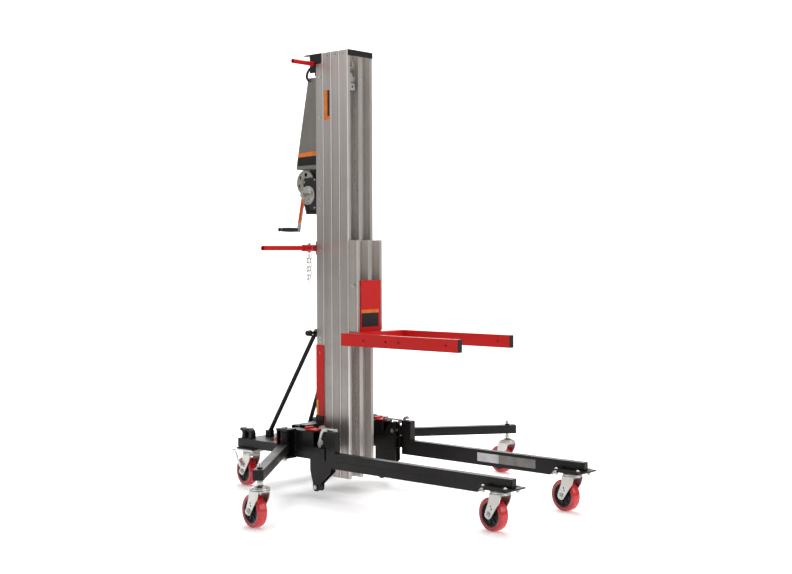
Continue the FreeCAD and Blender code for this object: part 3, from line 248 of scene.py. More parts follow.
def wire_rope(name):
    g = Graph(name)
    w = g.t.nodes.new("ShaderNodeTexWave")
    w.wave_type = "BANDS"
    w.bands_direction = "DIAGONAL"
    w.inputs["Scale"].default_value = 260.0
    g.t.links.new(g.co.outputs["Object"], w.inputs["Vector"])
    grease = g.noise(80.0, 4.0, 0.6)
    col = g.mix(g.rangemap(grease, 0.4, 0.7, 0.0, 0.7), (0.50, 0.50, 0.50, 1), (0.20, 0.19, 0.17, 1))
    g.set(Base_Color=col, Metallic=0.9, Roughness=g.rangemap(grease, 0.3, 0.7, 0.34, 0.55))
    g.bump(w.outputs["Fac"], 0.8, 0.0006, 0.0)
    return g.m


def tinted_black(name):
    """Guard sheet: grey-brown satin paint over folded sheet, faint vertical run marks."""
    g = Graph(name)
    run = g.noise(1.0, 4.0, 0.6, g.coords((60, 60, 3)))
    cloud = g.noise(9.0, 4.0, 0.55)
    peel = g.noise(1100.0, 3.0, 0.5)
    col = g.mix(g.rangemap(cloud, 0.35, 0.7, 0.0, 1.0), (0.215, 0.20, 0.18, 1), (0.165, 0.155, 0.14, 1))
    col = g.mix(g.rangemap(run, 0.5, 0.75, 0.0, 0.25), col, (0.27, 0.255, 0.235, 1))
    col = g.mix(g.edge_wear(0.6, 0.0016), col, (0.42, 0.41, 0.39, 1))
    g.set(Base_Color=col, Metallic=0.25, Roughness=g.rangemap(cloud, 0.3, 0.7, 0.36, 0.48))
    g.bump(peel, 0.08, 0.0005, 0.0012)
    return g.m


ALU = [aluminium("extrusion_%d" % k, t, dk) for k, (t, dk) in enumerate((
    ((0.47, 0.445, 0.425), (0.35, 0.325, 0.31)), ((0.45, 0.42, 0.40), (0.34, 0.315, 0.295)),
    ((0.46, 0.425, 0.405), (0.34, 0.31, 0.29)), ((0.47, 0.44, 0.42), (0.36, 0.33, 0.31)), ((0.49, 0.465, 0.43), (0.38, 0.355, 0.32))))]
BLACK = powder("black_powder_coat", (0.0100, 0.0088, 0.0086), 0.34, 0.05, (0.06, 0.055, 0.05), 0.10, 0.5, 900.0, 0.22)
BLACK_DARK = powder("black_enamel", (0.010, 0.0095, 0.0095), 0.30, 0.35)
RED = powder("red_powder_coat", (0.58, 0.008, 0.006), 0.36, 0.10, (0.30, 0.05, 0.04), 0.10, 0.45, 900.0, 0.24)
RED_DEEP = powder("red_enamel", (0.42, 0.008, 0.012), 0.30, 0.5, (0.24, 0.04, 0.04), 0.08, 0.4)
ZINC = zinc("bright_zinc")
ZINC_DULL = zinc("dull_zinc", (0.36, 0.36, 0.35), 0.34, 0.18)
GREY = tinted_black("guard_paint")
CAP = plastic("end_cap_black", (0.012, 0.011, 0.011), 0.42)
CAP_RED = plastic("end_cap_dark_red", (0.035, 0.004, 0.004), 0.45)
RUBBER = plastic("grip_rubber", (0.022, 0.021, 0.021), 0.55, 1100.0, 0.3)
KNOB = plastic("red_knob", (0.60, 0.015, 0.015), 0.28, 500.0, 0.04, 0.001, 0.4)
NYLON = plastic("sheave_nylon", (0.36, 0.30, 0.20), 0.42, 900.0, 0.1)
ROLLER = plastic("roller_rubber", (0.02, 0.02, 0.02), 0.6, 800.0, 0.3)
ROPE = wire_rope("wire_rope")
TREAD = polyurethane("tread_red", (0.60, 0.012, 0.016))
TREAD_SIDE = polyurethane("tread_side", (0.36, 0.020, 0.026), True)
CORE = plastic("wheel_core_black", (0.014, 0.013, 0.013), 0.46, 900.0, 0.16)
# paler, less metallic copy of the extrusion for the sunk channel floors: painted light, brighter than the ribs to stand
# in for the light falling into the channels
ALU_CHANNEL_PAINTED_LIGHT = aluminium("extrusion_channel", (0.66, 0.63, 0.60), (0.50, 0.47, 0.44))
ALU_CHANNEL_PAINTED_LIGHT.node_tree.nodes["Principled BSDF"].inputs["Metallic"].default_value = 0.45
L_ORANGE = plastic("label_orange", (0.80, 0.20, 0.025), 0.42, 900.0, 0.04, 0.0)
L_BLACK = plastic("label_black", (0.014, 0.013, 0.013), 0.40, 900.0, 0.04, 0.0)
L_PALE = plastic("label_pale", (0.62, 0.61, 0.63), 0.42, 900.0, 0.04, 0.0)
L_GREY = plastic("label_grey", (0.22, 0.21, 0.20), 0.42, 900.0, 0.04, 0.0)
L_RED = plastic("label_red", (0.55, 0.03, 0.03), 0.42, 900.0, 0.04, 0.0)
L_YELLOW = plastic("label_yellow", (0.85, 0.48, 0.03), 0.42, 900.0, 0.04, 0.0)
# much brighter copy of the extrusion for the front lips: a painted highlight where the lamps catch the lip edges
ALU_LIP_PAINTED_HIGHLIGHT = aluminium("extrusion_lip", (0.86, 0.83, 0.80), (0.66, 0.63, 0.60))
ZINC_GEAR = zinc("gear_zinc", (0.40, 0.395, 0.38), 0.30, 0.2)
# very dark zinc for the chain links: painted shade, darkened so the thin wire shows the dark shading between the links
CHAIN_ZINC_PAINTED_SHADE = zinc("chain_zinc_painted_shade", (0.20, 0.20, 0.20), 0.34, 0.1)


# ------------------------------------------------------------------ mesh tools
class Build:
    """Collects polygons with material numbers and turns them into one object."""

    def __init__(self, name, *mats):
        self.name, self.mats = name, list(mats)
        self.v, self.f, self.mi, self.sm = [], [], [], []
        self.m = Matrix.Identity(4)

    def at(self, m):
        self.m = m
        return self

    def add(self, verts, faces, mat=0, smooth=True):
        k = len(self.v)
        self.v += [self.m @ Vector(p) for p in verts]
        flip = self.m.determinant() < 0
        for f in faces:
            f = [k + i for i in f]
            self.f.append(f[::-1] if flip else f)
            self.mi.append(mat)
            self.sm.append(smooth)

    def lathe(self, prof, mat=0, segs=64, smooth=True, phase=0.0):
        """prof: (radius, along z) going so that the outside is on the left of travel; closed at radius 0."""
        mats = mat if isinstance(mat, (list, tuple)) else [mat] * (len(prof) - 1)
        rings, verts = [], []
        for r, z in prof:
            if r < 1e-7:
                rings.append([len(verts)] * segs)
                verts.append((0, 0, z))
            else:
                rings.append(list(range(len(verts), len(verts) + segs)))
                verts += [(r * math.cos(phase + 2 * math.pi * i / segs), r * math.sin(phase + 2 * math.pi * i / segs), z) for i in range(segs)]
        for k in range(len(prof) - 1):
            fs = []
            for i in range(segs):
                j = (i + 1) % segs
                q = [rings[k][i], rings[k][j], rings[k + 1][j], rings[k + 1][i]]
                u = []
                for x in q:
                    if x not in u:
                        u.append(x)
                if len(u) > 2:
                    fs.append(u)
            kk = len(self.v)
            for f in fs:
                self.f.append([kk + x for x in f])
                self.mi.append(mats[k])
                self.sm.append(smooth)
        flip = self.m.determinant() < 0
        if flip:
            n = sum(1 for _ in fs) * 0
        self.v += [self.m @ Vector(p) for p in verts]

    def prism(self, poly, z0, z1, mat=0, chamfer=0.0, smooth=False, top_mat=None):
        """Counter-clockwise polygon pushed from z0 to z1, with the two rims chamfered."""
        n = len(poly)
        cx = sum(p[0] for p in poly) / n
        cy = sum(p[1] for p in poly) / n

        def inset(p):
            d = math.hypot(p[0] - cx, p[1] - cy) or 1
            s = max(0.0, 1 - chamfer * 1.3 / d)
            return (cx + (p[0] - cx) * s, cy + (p[1] - cy) * s)

        levels = [(z0, True), (z0 + chamfer, False), (z1 - chamfer, False), (z1, True)] if chamfer else [(z0, False), (z1, False)]
        verts = []
        for z, ins in levels:
            verts += [(*(inset(p) if ins else p), z) for p in poly]
        faces = [list(range(n))[::-1]]
        self.add(verts, faces, mat, smooth)
        k = len(self.v) - len(verts)
        for lv in range(len(levels) - 1):
            for i in range(n):
                j = (i + 1) % n
                self.f.append([k + lv * n + i, k + lv * n + j, k + (lv + 1) * n + j, k + (lv + 1) * n + i])
                self.mi.append(mat)
                self.sm.append(smooth)
        self.f.append([k + (len(levels) - 1) * n + i for i in range(n)])
        self.mi.append(mat if top_mat is None else top_mat)
        self.sm.append(smooth)

    def sweep(self, path, radius, mat=0, segs=16, closed=False, smooth=True, caps=True):
        """Round bar along a path of points."""
        pts = [Vector(p) for p in path]
        n = len(pts)
        tang = []
        for i in range(n):
            a = pts[(i - 1) % n] if closed or i > 0 else pts[i]
            b = pts[(i + 1) % n] if closed or i < n - 1 else pts[i]
            tang.append((b - a).normalized())
        ref = Vector((0, 0, 1)) if abs(tang[0].z) < 0.9 else Vector((1, 0, 0))
        u = tang[0].cross(ref).normalized()
        verts = []
        for i in range(n):
            u = (u - tang[i] * u.dot(tang[i])).normalized()
            w = tang[i].cross(u)
            r = radius[i] if isinstance(radius, (list, tuple)) else radius
            verts += [tuple(pts[i] + (u * math.cos(2 * math.pi * k / segs) + w * math.sin(2 * math.pi * k / segs)) * r) for k in range(segs)]
        faces = []
        for i in range(n if closed else n - 1):
            a, b = i * segs, ((i + 1) % n) * segs
            for k in range(segs):
                l = (k + 1) % segs
                faces.append([a + k, a + l, b + l, b + k])
        if caps and not closed:
            faces.append(list(range(segs))[::-1])
            faces.append([(n - 1) * segs + k for k in range(segs)])
        self.add(verts, faces, mat, smooth)

    def box(self, a, b, mat=0, chamfer=0.0008):
        """Block with all twelve edges chamfered."""
        bm = bmesh.new()
        bmesh.ops.create_cube(bm, size=1.0)
        for v in bm.verts:
            v.co = Vector([(a[k] + b[k]) / 2 + v.co[k] * abs(b[k] - a[k]) for k in range(3)])
        if chamfer:
            bmesh.ops.bevel(bm, geom=bm.edges[:], offset=chamfer, segments=2, affect="EDGES", profile=0.5)
        bm.normal_update()
        self.take(bm, mat)

    def take(self, bm, mat=0, smooth=False):
        bm.verts.index_update()
        self.add([v.co.copy() for v in bm.verts], [[v.index for v in f.verts] for f in bm.faces], mat, smooth)
        bm.free()

    def hexhead(self, m, across, height, mat=0, washer=0.0, shank=None):
        """Hexagon head with the usual conical chamfer, its base at the origin of m and looking along +z."""
        keep = self.m
        self.m = m
        z = 0.0
        if washer:
            self.lathe([(0, 0), (washer - 0.0004, 0), (washer, 0.0004), (washer, 0.0012), (washer - 0.0004, 0.0016), (0, 0.0016)], mat, 32)
            z = 0.0016
        r = across / math.sqrt(3)
        hexa = [(r * math.cos(math.pi / 3 * k), r * math.sin(math.pi / 3 * k)) for k in range(6)]
        ap = across / 2
        pts, faces = [], []
        for k in range(6):
            pts.append((*hexa[k], z))
        seg = 6
        rim = []
        for k in range(6):
            a, b = hexa[k], hexa[(k + 1) % 6]
            for s in range(seg):
                t = s / seg
                p = (a[0] + (b[0] - a[0]) * t, a[1] + (b[1] - a[1]) * t)
                d = math.hypot(*p)
                rim.append((p[0], p[1], z + height - max(0.0, (d - ap) * 0.75) - height * 0.05))
        k0 = 6
        pts += rim
        m_ = len(rim)
        top = [(p[0] / math.hypot(p[0], p[1]) * ap * 0.93, p[1] / math.hypot(p[0], p[1]) * ap * 0.93, z + height) for p in rim]
        pts += top
        for k in range(6):
            q = [k, (k + 1) % 6] + [k0 + ((k + 1) * seg - s) % m_ for s in range(seg + 1)]
            faces.append(q)
        for i in range(m_):
            j = (i + 1) % m_
            faces.append([k0 + i, k0 + j, k0 + m_ + j, k0 + m_ + i])
        faces.append([k0 + m_ + i for i in range(m_)])
        faces.append(list(range(6))[::-1])
        self.add(pts, faces, mat, False)
        self.m = keep

    def screw(self, m, r, length, pitch=0.0015, depth=0.0008, mat=0, segs=20):
        """Threaded rod end: a real helical ridge."""
        keep = self.m
        self.m = m
        n = max(2, int(length / pitch * 6))
        verts = []
        for i in range(n + 1):
            z = length * i / n
            for k in range(segs):
                ph = (z / pitch - k / segs) % 1.0
                rr = r - depth * abs(2 * ph - 1)
                verts.append((rr * math.cos(2 * math.pi * k / segs), rr * math.sin(2 * math.pi * k / segs), z))
        faces = []
        for i in range(n):
            for k in range(segs):
                l = (k + 1) % segs
                faces.append([i * segs + k, i * segs + l, (i + 1) * segs + l, (i + 1) * segs + k])
        faces.append(list(range(segs))[::-1])
        faces.append([n * segs + k for k in range(segs)])
        self.add(verts, faces, mat, True)
        self.m = keep

    def make(self, body, replaces=None, slot=None, angle=35):
        me = bpy.data.meshes.new(self.name)
        me.from_pydata([tuple(p) for p in self.v], [], self.f)
        for m in self.mats:
            me.materials.append(m)
        me.polygons.foreach_set("material_index", self.mi)
        me.polygons.foreach_set("use_smooth", self.sm)
        me.update()
        bm = bmesh.new()
        bm.from_mesh(me)
        bmesh.ops.recalc_face_normals(bm, faces=bm.faces[:])
        for e in bm.edges:
            if len(e.link_faces) == 2 and e.calc_face_angle(0.0) > math.radians(angle):
                e.smooth = False
        bm.to_mesh(me)
        bm.free()
        o = bpy.data.objects.new(self.name, me)
        bpy.context.scene.collection.objects.link(o)
        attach(o, body)
        if replaces:
            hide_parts(*([replaces] if isinstance(replaces, str) else replaces))
        return o


def frame_at(p, z, x=None):
    """Placement whose z axis looks along z."""
    z = Vector(z).normalized()
    x = Vector(x) if x is not None else (Vector((0, 0, 1)) if abs(z.z) < 0.9 else Vector((1, 0, 0)))
    x = (x - z * x.dot(z)).normalized()
    y = z.cross(x)
    return Matrix.Translation(Vector(p)) @ Matrix((x, y, z)).transposed().to_4x4()


def arc(cx, cy, r, a0, a1, n):
    return [(cx + r * math.cos(math.radians(a0 + (a1 - a0) * i / n)), cy + r * math.sin(math.radians(a0 + (a1 - a0) * i / n))) for i in range(n + 1)]


def rounded(x0, y0, x1, y1, r, n=4):
    return arc(x1 - r, y0 + r, r, -90, 0, n) + arc(x1 - r, y1 - r, r, 0, 90, n) + arc(x0 + r, y1 - r, r, 90, 180, n) + arc(x0 + r, y0 + r, r, 180, 270, n)


def smooth_path(pts, per=10):
    """Catmull-Rom through the points."""
    P = [Vector(p) for p in pts]
    P = [P[0] * 2 - P[1]] + P + [P[-1] * 2 - P[-2]]
    out = []
    for i in range(1, len(P) - 2):
        a, b, c, d = P[i - 1:i + 3]
        for k in range(per):
            t = k / per
            out.append(0.5 * ((2 * b) + (c - a) * t + (2 * a - 5 * b + 4 * c - d) * t * t + (3 * b - a - 3 * c + d) * t ** 3))
    out.append(P[-2])
    return out


# ------------------------------------------------------------------ CAD materials
LOOK = {"aluminium_extrusion": ALU[0], "black_paint": BLACK, "red_paint": RED, "grey_paint": GREY, "zinc": ZINC, "cable_steel": ROPE,
        "wheel_tread": TREAD, "black_plastic": CAP, "black_rubber": RUBBER, "red_plastic": KNOB, "nylon": NYLON}
for o in N.values():
    for s in o.material_slots:
        key = s.material.name.split(".")[0] if s.material else ""
        s.material = LOOK.get(key, BLACK)
for k, nm in enumerate(("mast_1", "mast_2", "mast_3", "mast_4", "carriage")):
    for s in N[nm].material_slots:
        s.material = ALU[k]


# ------------------------------------------------------------------ casters
CASTERS = {
    "front_right": (0.727, -0.244, 169.5), "front_left": (0.727, 0.244, 169.5),
    "outer_right": (-0.013981, -0.794698, 169.5), "outer_left": (-0.013981, 0.794698, 169.5),
    "rear_right": (-0.705, -0.225, 169.5), "rear_left": (-0.705, 0.225, -8.0)}
for word, (cx, cy, yaw) in CASTERS.items():
    c, s = math.cos(math.radians(yaw)), math.sin(math.radians(yaw))
    centre = Vector((cx + 0.040 * c, cy + 0.040 * s, 0.065))
    axis = Vector((-s, c, 0))
    m = frame_at(centre, axis)
    w = Build("wheel_" + word + "_visual", TREAD, TREAD_SIDE, CORE, ZINC)
    w.at(m)
    R, T = 0.065, 0.021
    # tread: crowned face, rounded shoulders, a stepped side wall with a moulded ring
    half = [(0.0465, 0.0178), (0.0480, 0.0190), (0.0500, 0.0203), (0.0530, 0.0210), (0.0545, 0.0204), (0.0562, 0.0204), (0.0577, 0.0211), (0.0600, 0.0205),
            (0.0620, 0.0192), (0.0636, 0.0170), (0.0645, 0.0140), (0.0649, 0.0090), (0.0650, 0.0)]
    prof = half + [(r, -z) for r, z in half[-2::-1]]
    mats = [1] * 7 + [0] * 10 + [1] * 7
    w.lathe(prof, mats, 96)
    # core: rim, recessed web, hub
    core = [(0.0470, 0.0170), (0.0462, 0.0196), (0.0448, 0.0200), (0.0425, 0.0196), (0.0408, 0.0160), (0.0395, 0.0135), (0.0300, 0.0128), (0.0200, 0.0132),
            (0.0185, 0.0155), (0.0178, 0.0205), (0.0165, 0.0218), (0.0122, 0.0220), (0.0118, 0.0205), (0.0062, 0.0205)]
    w.lathe(core, 2, 72)
    w.lathe([(r, -z) for r, z in core[::-1]], 2, 72)
    # ribs of the core
    for side in (1, -1):
        for k in range(8):
            a = 2 * math.pi * k / 8
            keep = w.m
            w.m = m @ Matrix.Rotation(a, 4, "Z")
            z0, z1 = (0.0120, 0.0172) if side > 0 else (-0.0172, -0.0120)
            w.box((0.0172, -0.0016, z0), (0.0420, 0.0016, z1), 2, 0.0005)
            w.m = keep
    # steel bush of the bearing
    for side in (1, -1):
        z = 0.0207 * side
        zz = 0.0228 * side
        w.lathe([(0.0063, z), (0.0063, zz), (0.0095, zz), (0.0105, 0.0222 * side), (0.0105, z)] if side < 0 else
                [(0.0105, z), (0.0105, 0.0222), (0.0095, zz), (0.0063, zz), (0.0063, z)], 3, 48)
    w.make("wheel_" + word + "_body", "wheel_" + word, "wheel_tread")


# ------------------------------------------------------------------ casters: bolts and plates beside the CAD yokes
for word, (cx, cy, yaw) in CASTERS.items():
    c, s = math.cos(math.radians(yaw)), math.sin(math.radians(yaw))
    along, axis = Vector((c, s, 0)), Vector((-s, c, 0))
    centre = Vector((cx, cy, 0.065)) + along * 0.040
    b = Build("caster_axle_bolt_" + word, ZINC)
    b.hexhead(frame_at(centre + axis * 0.0296, axis), 0.0205, 0.0058, 0, 0.0125)
    b.screw(frame_at(centre + axis * 0.0366, axis), 0.0055, 0.003, 0.0012, 0.0006)
    b.hexhead(frame_at(centre - axis * 0.0296, -axis), 0.0205, 0.0058, 0, 0.0125)
    # race: rolled rim of the upper and lower dish
    b.m = Matrix.Translation((cx, cy, 0.0))
    b.lathe([(0.0380, 0.1462), (0.0398, 0.1470), (0.0408, 0.1492), (0.0398, 0.1512), (0.0380, 0.1518)], 0, 72)
    b.lathe([(0.0385, 0.1534), (0.0404, 0.1540), (0.0412, 0.1560), (0.0404, 0.1580), (0.0385, 0.1586)], 0, 72)
    b.make("swivel_" + word, None, "zinc")

# round-headed carriage bolts and washers on the front caster plates, and the zinc plate's lip below them
for side, word in ((-1, "right"), (1, "left")):
    b = Build("front_plate_bolts_" + word, ZINC, BLACK)
    for x in (0.6745, 0.7795):
        for y in (0.2045, 0.2835):
            b.m = Matrix.Translation((x, side * y, 0.1769))
            b.lathe([(0.0, 0.0062), (0.0030, 0.0059), (0.0058, 0.0046), (0.0074, 0.0026), (0.0078, 0.0010), (0.0078, 0.0), (0.0, 0.0)], 0, 32)
            b.m = Matrix.Identity(4)
            b.hexhead(frame_at((x, side * y, 0.1626), (0, 0, -1)), 0.013, 0.0065, 0, 0.010)
            b.screw(frame_at((x, side * y, 0.1560), (0, 0, -1)), 0.004, 0.004, 0.00125, 0.0006)
    # turned-down lip of the zinc plate behind and beside the wheel
    y0, y1 = sorted((side * 0.203, side * 0.285))
    prof = [(0.672, 0.1712), (0.672, 0.1690), (0.664, 0.1655), (0.657, 0.1585), (0.655, 0.1588), (0.6622, 0.1668), (0.671, 0.1712)]
    b.m = frame_at((0, y1, 0), (0, -1, 0), (1, 0, 0))
    b.prism([(x, z) for x, z in reversed(prof)], 0.0, y1 - y0, 0, 0.0)
    b.make("leg_%s_body" % word, None, "zinc")

# ------------------------------------------------------------------ winch
# crank grip: turned handle with a swelled middle, moulded rings and a domed end
g = Build("crank_grip_visual", RUBBER, ZINC)
g.m = frame_at((-0.511, -0.117, 1.168), (0, -1, 0))
L = 0.100
prof = [(0.0045, 0.0)]
for k in range(0, 41):
    t = k / 40
    r = 0.0088 + 0.0017 * math.sin(math.pi * min(1, t * 1.05)) ** 0.8
    if 3 < k < 37 and k % 3 == 0:
        r -= 0.0007
    prof.append((min(0.0105, r), 0.0012 + t * (L - 0.0062)))
prof += [(0.0086, L - 0.0032), (0.0070, L - 0.0012), (0.0045, L - 0.0002), (0.0, L)]
g.lathe(prof, 0, 48)
g.lathe([(0.0, -0.0002), (0.0100, -0.0002), (0.0102, 0.0012), (0.0085, 0.0016)], 1, 32)
grip = g.make("grip", "crank_grip", "black_rubber")



# ------------------------------------------------------------------ plain colour panels: thin vinyl with plain blocks
def plate_at(origin, right, up):
    r, u = Vector(right).normalized(), Vector(up).normalized()
    return Matrix.Translation(Vector(origin)) @ Matrix((r, u, r.cross(u))).transposed().to_4x4()


def label(name, body, origin, right, up, layers):
    """layers: (material, polygon in mm on the face, height over the face in mm)."""
    b = Build(name)
    b.m = plate_at(origin, right, up)
    low = {}
    for mat, poly, h in layers:
        if mat not in b.mats:
            b.mats.append(mat)
        b.prism([(x / 1000, y / 1000) for x, y in poly], 0.00002, h / 1000, b.mats.index(mat))
    return b.make(body)


def rr(x0, y0, x1, y1, r=2.0):
    return rounded(x0, y0, x1, y1, r, 4)


# second section, side face: narrow upright panel
z0, z1 = 1657.0, 1791.0
rows = [(L_ORANGE, rr(-374.0, z0, -338.5, z1, 1.5), 0.20), (L_BLACK, rr(-352.5, z0 + 17, -339.5, z1 - 1.5, 0.8), 0.30)]
label("mast_side_panel", "mast_two", (0, -0.079, 0), (1, 0, 0), (0, 0, 1), rows)

# guard: orange band over a black panel on both side walls
for s, word in ((-1, "right"), (1, "left")):
    sh = [(-575.0, 1463), (-431.0, 1463), (-431.0, 1529), (-568.0, 1522)]
    lay = [(L_BLACK, sh, 0.20), (L_ORANGE, [(-571.5, 1502), (-431.5, 1506), (-431.5, 1528.4), (-567.8, 1521.4)], 0.28)]
    if s < 0:
        label("guard_panel_" + word, "base", (0, -0.052, 0), (1, 0, 0), (0, 0, 1), lay)
    else:
        label("guard_panel_" + word, "base", (0, 0.052, 0), (-1, 0, 0), (0, 0, 1), [(m_, [(-x, y) for x, y in p][::-1], h) for m_, p, h in lay])

# fork plate: orange band over a black panel
lay = [(L_BLACK, rr(-60, 737, 48, 797.6, 1.5), 0.20), (L_ORANGE, rr(-62, 798, 50, 813, 1.0), 0.20)]
label("fork_plate_panel", "carriage_body", (-0.165, 0, 0), (0, 1, 0), (0, 0, 1), lay)

# legs, inner faces: a plain pale block beside a plain grey one
for s, word in ((-1, "right"), (1, "left")):
    lay = [(L_PALE, rr(247, 160, 362, 197, 1.5), 0.20), (L_GREY, rr(362.5, 160, 553, 197, 1.5), 0.20)]
    if s > 0:
        label("leg_panel_" + word, "leg_left_body", (0, 0.228, 0), (1, 0, 0), (0, 0, 1), lay)
    else:
        label("leg_panel_" + word, "leg_right_body", (0, -0.228, 0), (-1, 0, 0), (0, 0, 1), [(m_, [(-x, y) for x, y in p][::-1], h) for m_, p, h in lay])

# narrow strip on the red foot channel
lay = [(L_YELLOW, rr(-426, 338, -415, 402, 1.0), 0.20)]
label("foot_strip", "base", (0, -0.082, 0), (1, 0, 0), (0, 0, 1), lay)

# ------------------------------------------------------------------ winch arm sleeve
sleeve = Build("crank_arm_sleeve", L_ORANGE, L_RED)
pin = Vector((-0.478, -0.110, 1.3246))
end = Vector((-0.511, -0.110, 1.168))
up = (pin - end).normalized()
right = Vector((0, -1, 0)).cross(up) * -1
sleeve.m = plate_at(pin, right, up)
if (sleeve.m.to_3x3() @ Vector((0, 0, 1))).y > 0:
    sleeve.m = plate_at(pin, -right, up)
sleeve.prism(rounded(-0.0096, -0.128, 0.0096, -0.0185, 0.002), 0.00002, 0.0003, 0)
sleeve.prism(rounded(-0.0040, -0.116, 0.0040, -0.0320, 0.0008), 0.00002, 0.0004, 1)
sleeve.make("crank")

# brake hub details: nut, threaded end, washer and three small bolt heads on the outer plate
hub = Build("brake_hub_nut", ZINC_DULL, ZINC)
hub.hexhead(frame_at((-0.478, -0.1052, 1.3246), (0, -1, 0)), 0.021, 0.009, 0, 0.0140)
hub.screw(frame_at((-0.478, -0.1158, 1.3246), (0, -1, 0)), 0.006, 0.0045, 0.00175, 0.0008)
hub.m = frame_at((-0.478, -0.0821, 1.3246), (0, -1, 0))
hub.lathe([(0.0300, 0.0041), (0.0296, 0.0047), (0.0180, 0.0049), (0.0180, 0.0041)], 1, 64)
for k in range(3):
    a = 2 * math.pi * k / 3 + 0.4
    hub.hexhead(frame_at(Vector((-0.478 + 0.036 * math.cos(a), -0.0821, 1.3246 + 0.036 * math.sin(a))), (0, -1, 0)), 0.007, 0.003, 0)
hub.make("crank", None, "zinc")

# ------------------------------------------------------------------ bent loop over the guard, black tube
loop = Build("guard_loop", CAP, ZINC_DULL)
path = smooth_path([(-0.4685, -0.0600, 1.9050), (-0.4850, -0.0610, 1.8975), (-0.4990, -0.0610, 1.8800), (-0.5030, -0.0600, 1.8640), (-0.4960, -0.0578, 1.8500),
                    (-0.4830, -0.0570, 1.8440)], 10)
loop.sweep(path, 0.0058, 0, 20)
loop.hexhead(frame_at((-0.4840, -0.0522, 1.8440), (0, -1, 0)), 0.010, 0.004, 1, 0.0075)
loop.make("base")

# ------------------------------------------------------------------ fork end caps: moulded plugs with a raised rim and cross rib
caps = Build("fork_end_caps_visual", CAP)
for s in (-1, 1):
    caps.m = frame_at((0.4738, s * 0.1715, 0.6895), (1, 0, 0), (0, 1, 0))
    caps.prism(rounded(-0.0124, -0.0264, 0.0124, 0.0264, 0.0018), 0.0002, 0.0026, 0, 0.0006)
    rim_o, rim_i = rounded(-0.0112, -0.0252, 0.0112, 0.0252, 0.0016), rounded(-0.0098, -0.0238, 0.0098, 0.0238, 0.0012)
    n = len(rim_o)
    v = [(x, y, 0.0024) for x, y in rim_o] + [(x, y, 0.0031) for x, y in rim_o] + [(x, y, 0.0031) for x, y in rim_i] + [(x, y, 0.0024) for x, y in rim_i]
    f = []
    for lv in range(3):
        for i in range(n):
            j = (i + 1) % n
            f.append([lv * n + i, lv * n + j, (lv + 1) * n + j, (lv + 1) * n + i])
    caps.add(v, f, 0, False)
    caps.box((-0.0095, -0.0006, 0.0022), (0.0095, 0.0006, 0.0029), 0, 0.0002)
    caps.box((-0.0006, -0.0235, 0.0022), (0.0006, 0.0235, 0.0029), 0, 0.0002)
    caps.box((-0.0095, -0.0230, -0.0160), (0.0095, 0.0230, 0.0004), 0, 0.0010)
caps.make("carriage_body", "fork_end_caps", "black_plastic")

# ------------------------------------------------------------------ outrigger end caps: black plastic sleeves over the tube ends
for s, word in ((-1, "right"), (1, "left")):
    stem = Vector((-0.013981, s * 0.794698, 0.213))
    hinge = Vector((-0.414, s * 0.290, 0.213))
    d = (stem - hinge).normalized()
    dist = (stem - hinge).length
    ov = N["outrigger_" + word]
    far = max((v.co - hinge).dot(d) for v in ov.data.vertices)
    cap = Build("outrigger_cap_" + word, CAP)
    cap.m = frame_at(hinge + d * (far + 0.0001), d, (0, 0, 1))
    cap.prism(rounded(-0.0206, -0.0206, 0.0206, 0.0206, 0.003), -0.021, 0.0, 0, 0.0012)
    cap.make("outrigger_%s_body" % word)

# ------------------------------------------------------------------ latch hooks are bare zinc; the red pedals are left as they are
for s, word in ((-1, "right"), (1, "left")):
    o = N["latch_" + word]
    o.data.materials.append(ZINC)
    zi = len(o.data.materials) - 1
    for p in o.data.polygons:
        c = p.center
        if c.x > -0.2635 and abs(c.y) > 0.1958 and c.z > 0.287 and abs(c.y) < 0.2185:
            p.material_index = zi

# front faces of the sections: the sunk channel floors get a paler, less metallic aluminium than the drawn ribs, painted
# light standing in for the light that reaches into the channels
for k, nm in enumerate(("mast_1", "mast_2", "mast_3", "mast_4", "carriage")):
    o = N[nm]
    o.data.materials.append(ALU_CHANNEL_PAINTED_LIGHT)
    ii = len(o.data.materials) - 1
    front = max(v.co.x for v in o.data.vertices)
    for p in o.data.polygons:
        if nm in ("mast_4", "carriage") and p.center.x > front - 0.049 and abs(p.center.y) < 0.0775 and (p.normal.x > 0.7 or abs(p.normal.y) > 0.7) and p.center.x < front - 0.0005:
            p.material_index = ii

# ------------------------------------------------------------------ finishes told apart on the CAD nodes, with a painted highlight on the front lips of the sections
def paint(node, mat, test):
    """Gives the faces of a CAD node that pass the test their own material: a real finish, or painted light such as the
    highlight on the lips.
    """
    o = N[node]
    o.data.materials.append(mat)
    k = len(o.data.materials) - 1
    for p in o.data.polygons:
        if test(p.center, p.normal):
            p.material_index = k


for nm in ("mast_1", "mast_2", "mast_3", "mast_4", "carriage"):
    front = max(v.co.x for v in N[nm].data.vertices)
    # front lips of every section: painted highlight
    paint(nm, ALU_LIP_PAINTED_HIGHLIGHT, lambda c, n, f=front: c.x > f - 0.0062 and abs(c.y) > 0.0745 and (abs(n.y) > 0.7 or n.x > 0.7))
paint("winch_crank", CAP, lambda c, n: c.y < -0.2165)
for nm, mat in (("winch_drum", ZINC_GEAR), ("front_sheave", NYLON), ("cable_anchor", ZINC)):
    for s in N[nm].material_slots:
        s.material = mat

# ------------------------------------------------------------------ retaining chain: heavier oval links, lock pin and pull ring
def link(b, centre, across, length=0.0252, width=0.0140, wire=0.0016, mat=0):
    ac, al = Vector(across).normalized(), Vector((0, 0, 1))
    r = width / 2 - wire
    st = length / 2 - wire - r
    pts = []
    for half_turn in (0, 1):
        for k in range(9):
            a = -math.pi / 2 + math.pi * half_turn + math.pi * k / 8
            pts.append(Vector(centre) + al * ((st if half_turn == 0 else -st) + r * math.cos(a)) + ac * (r * math.sin(a)))
    b.sweep(pts, wire, mat, 8, closed=True)
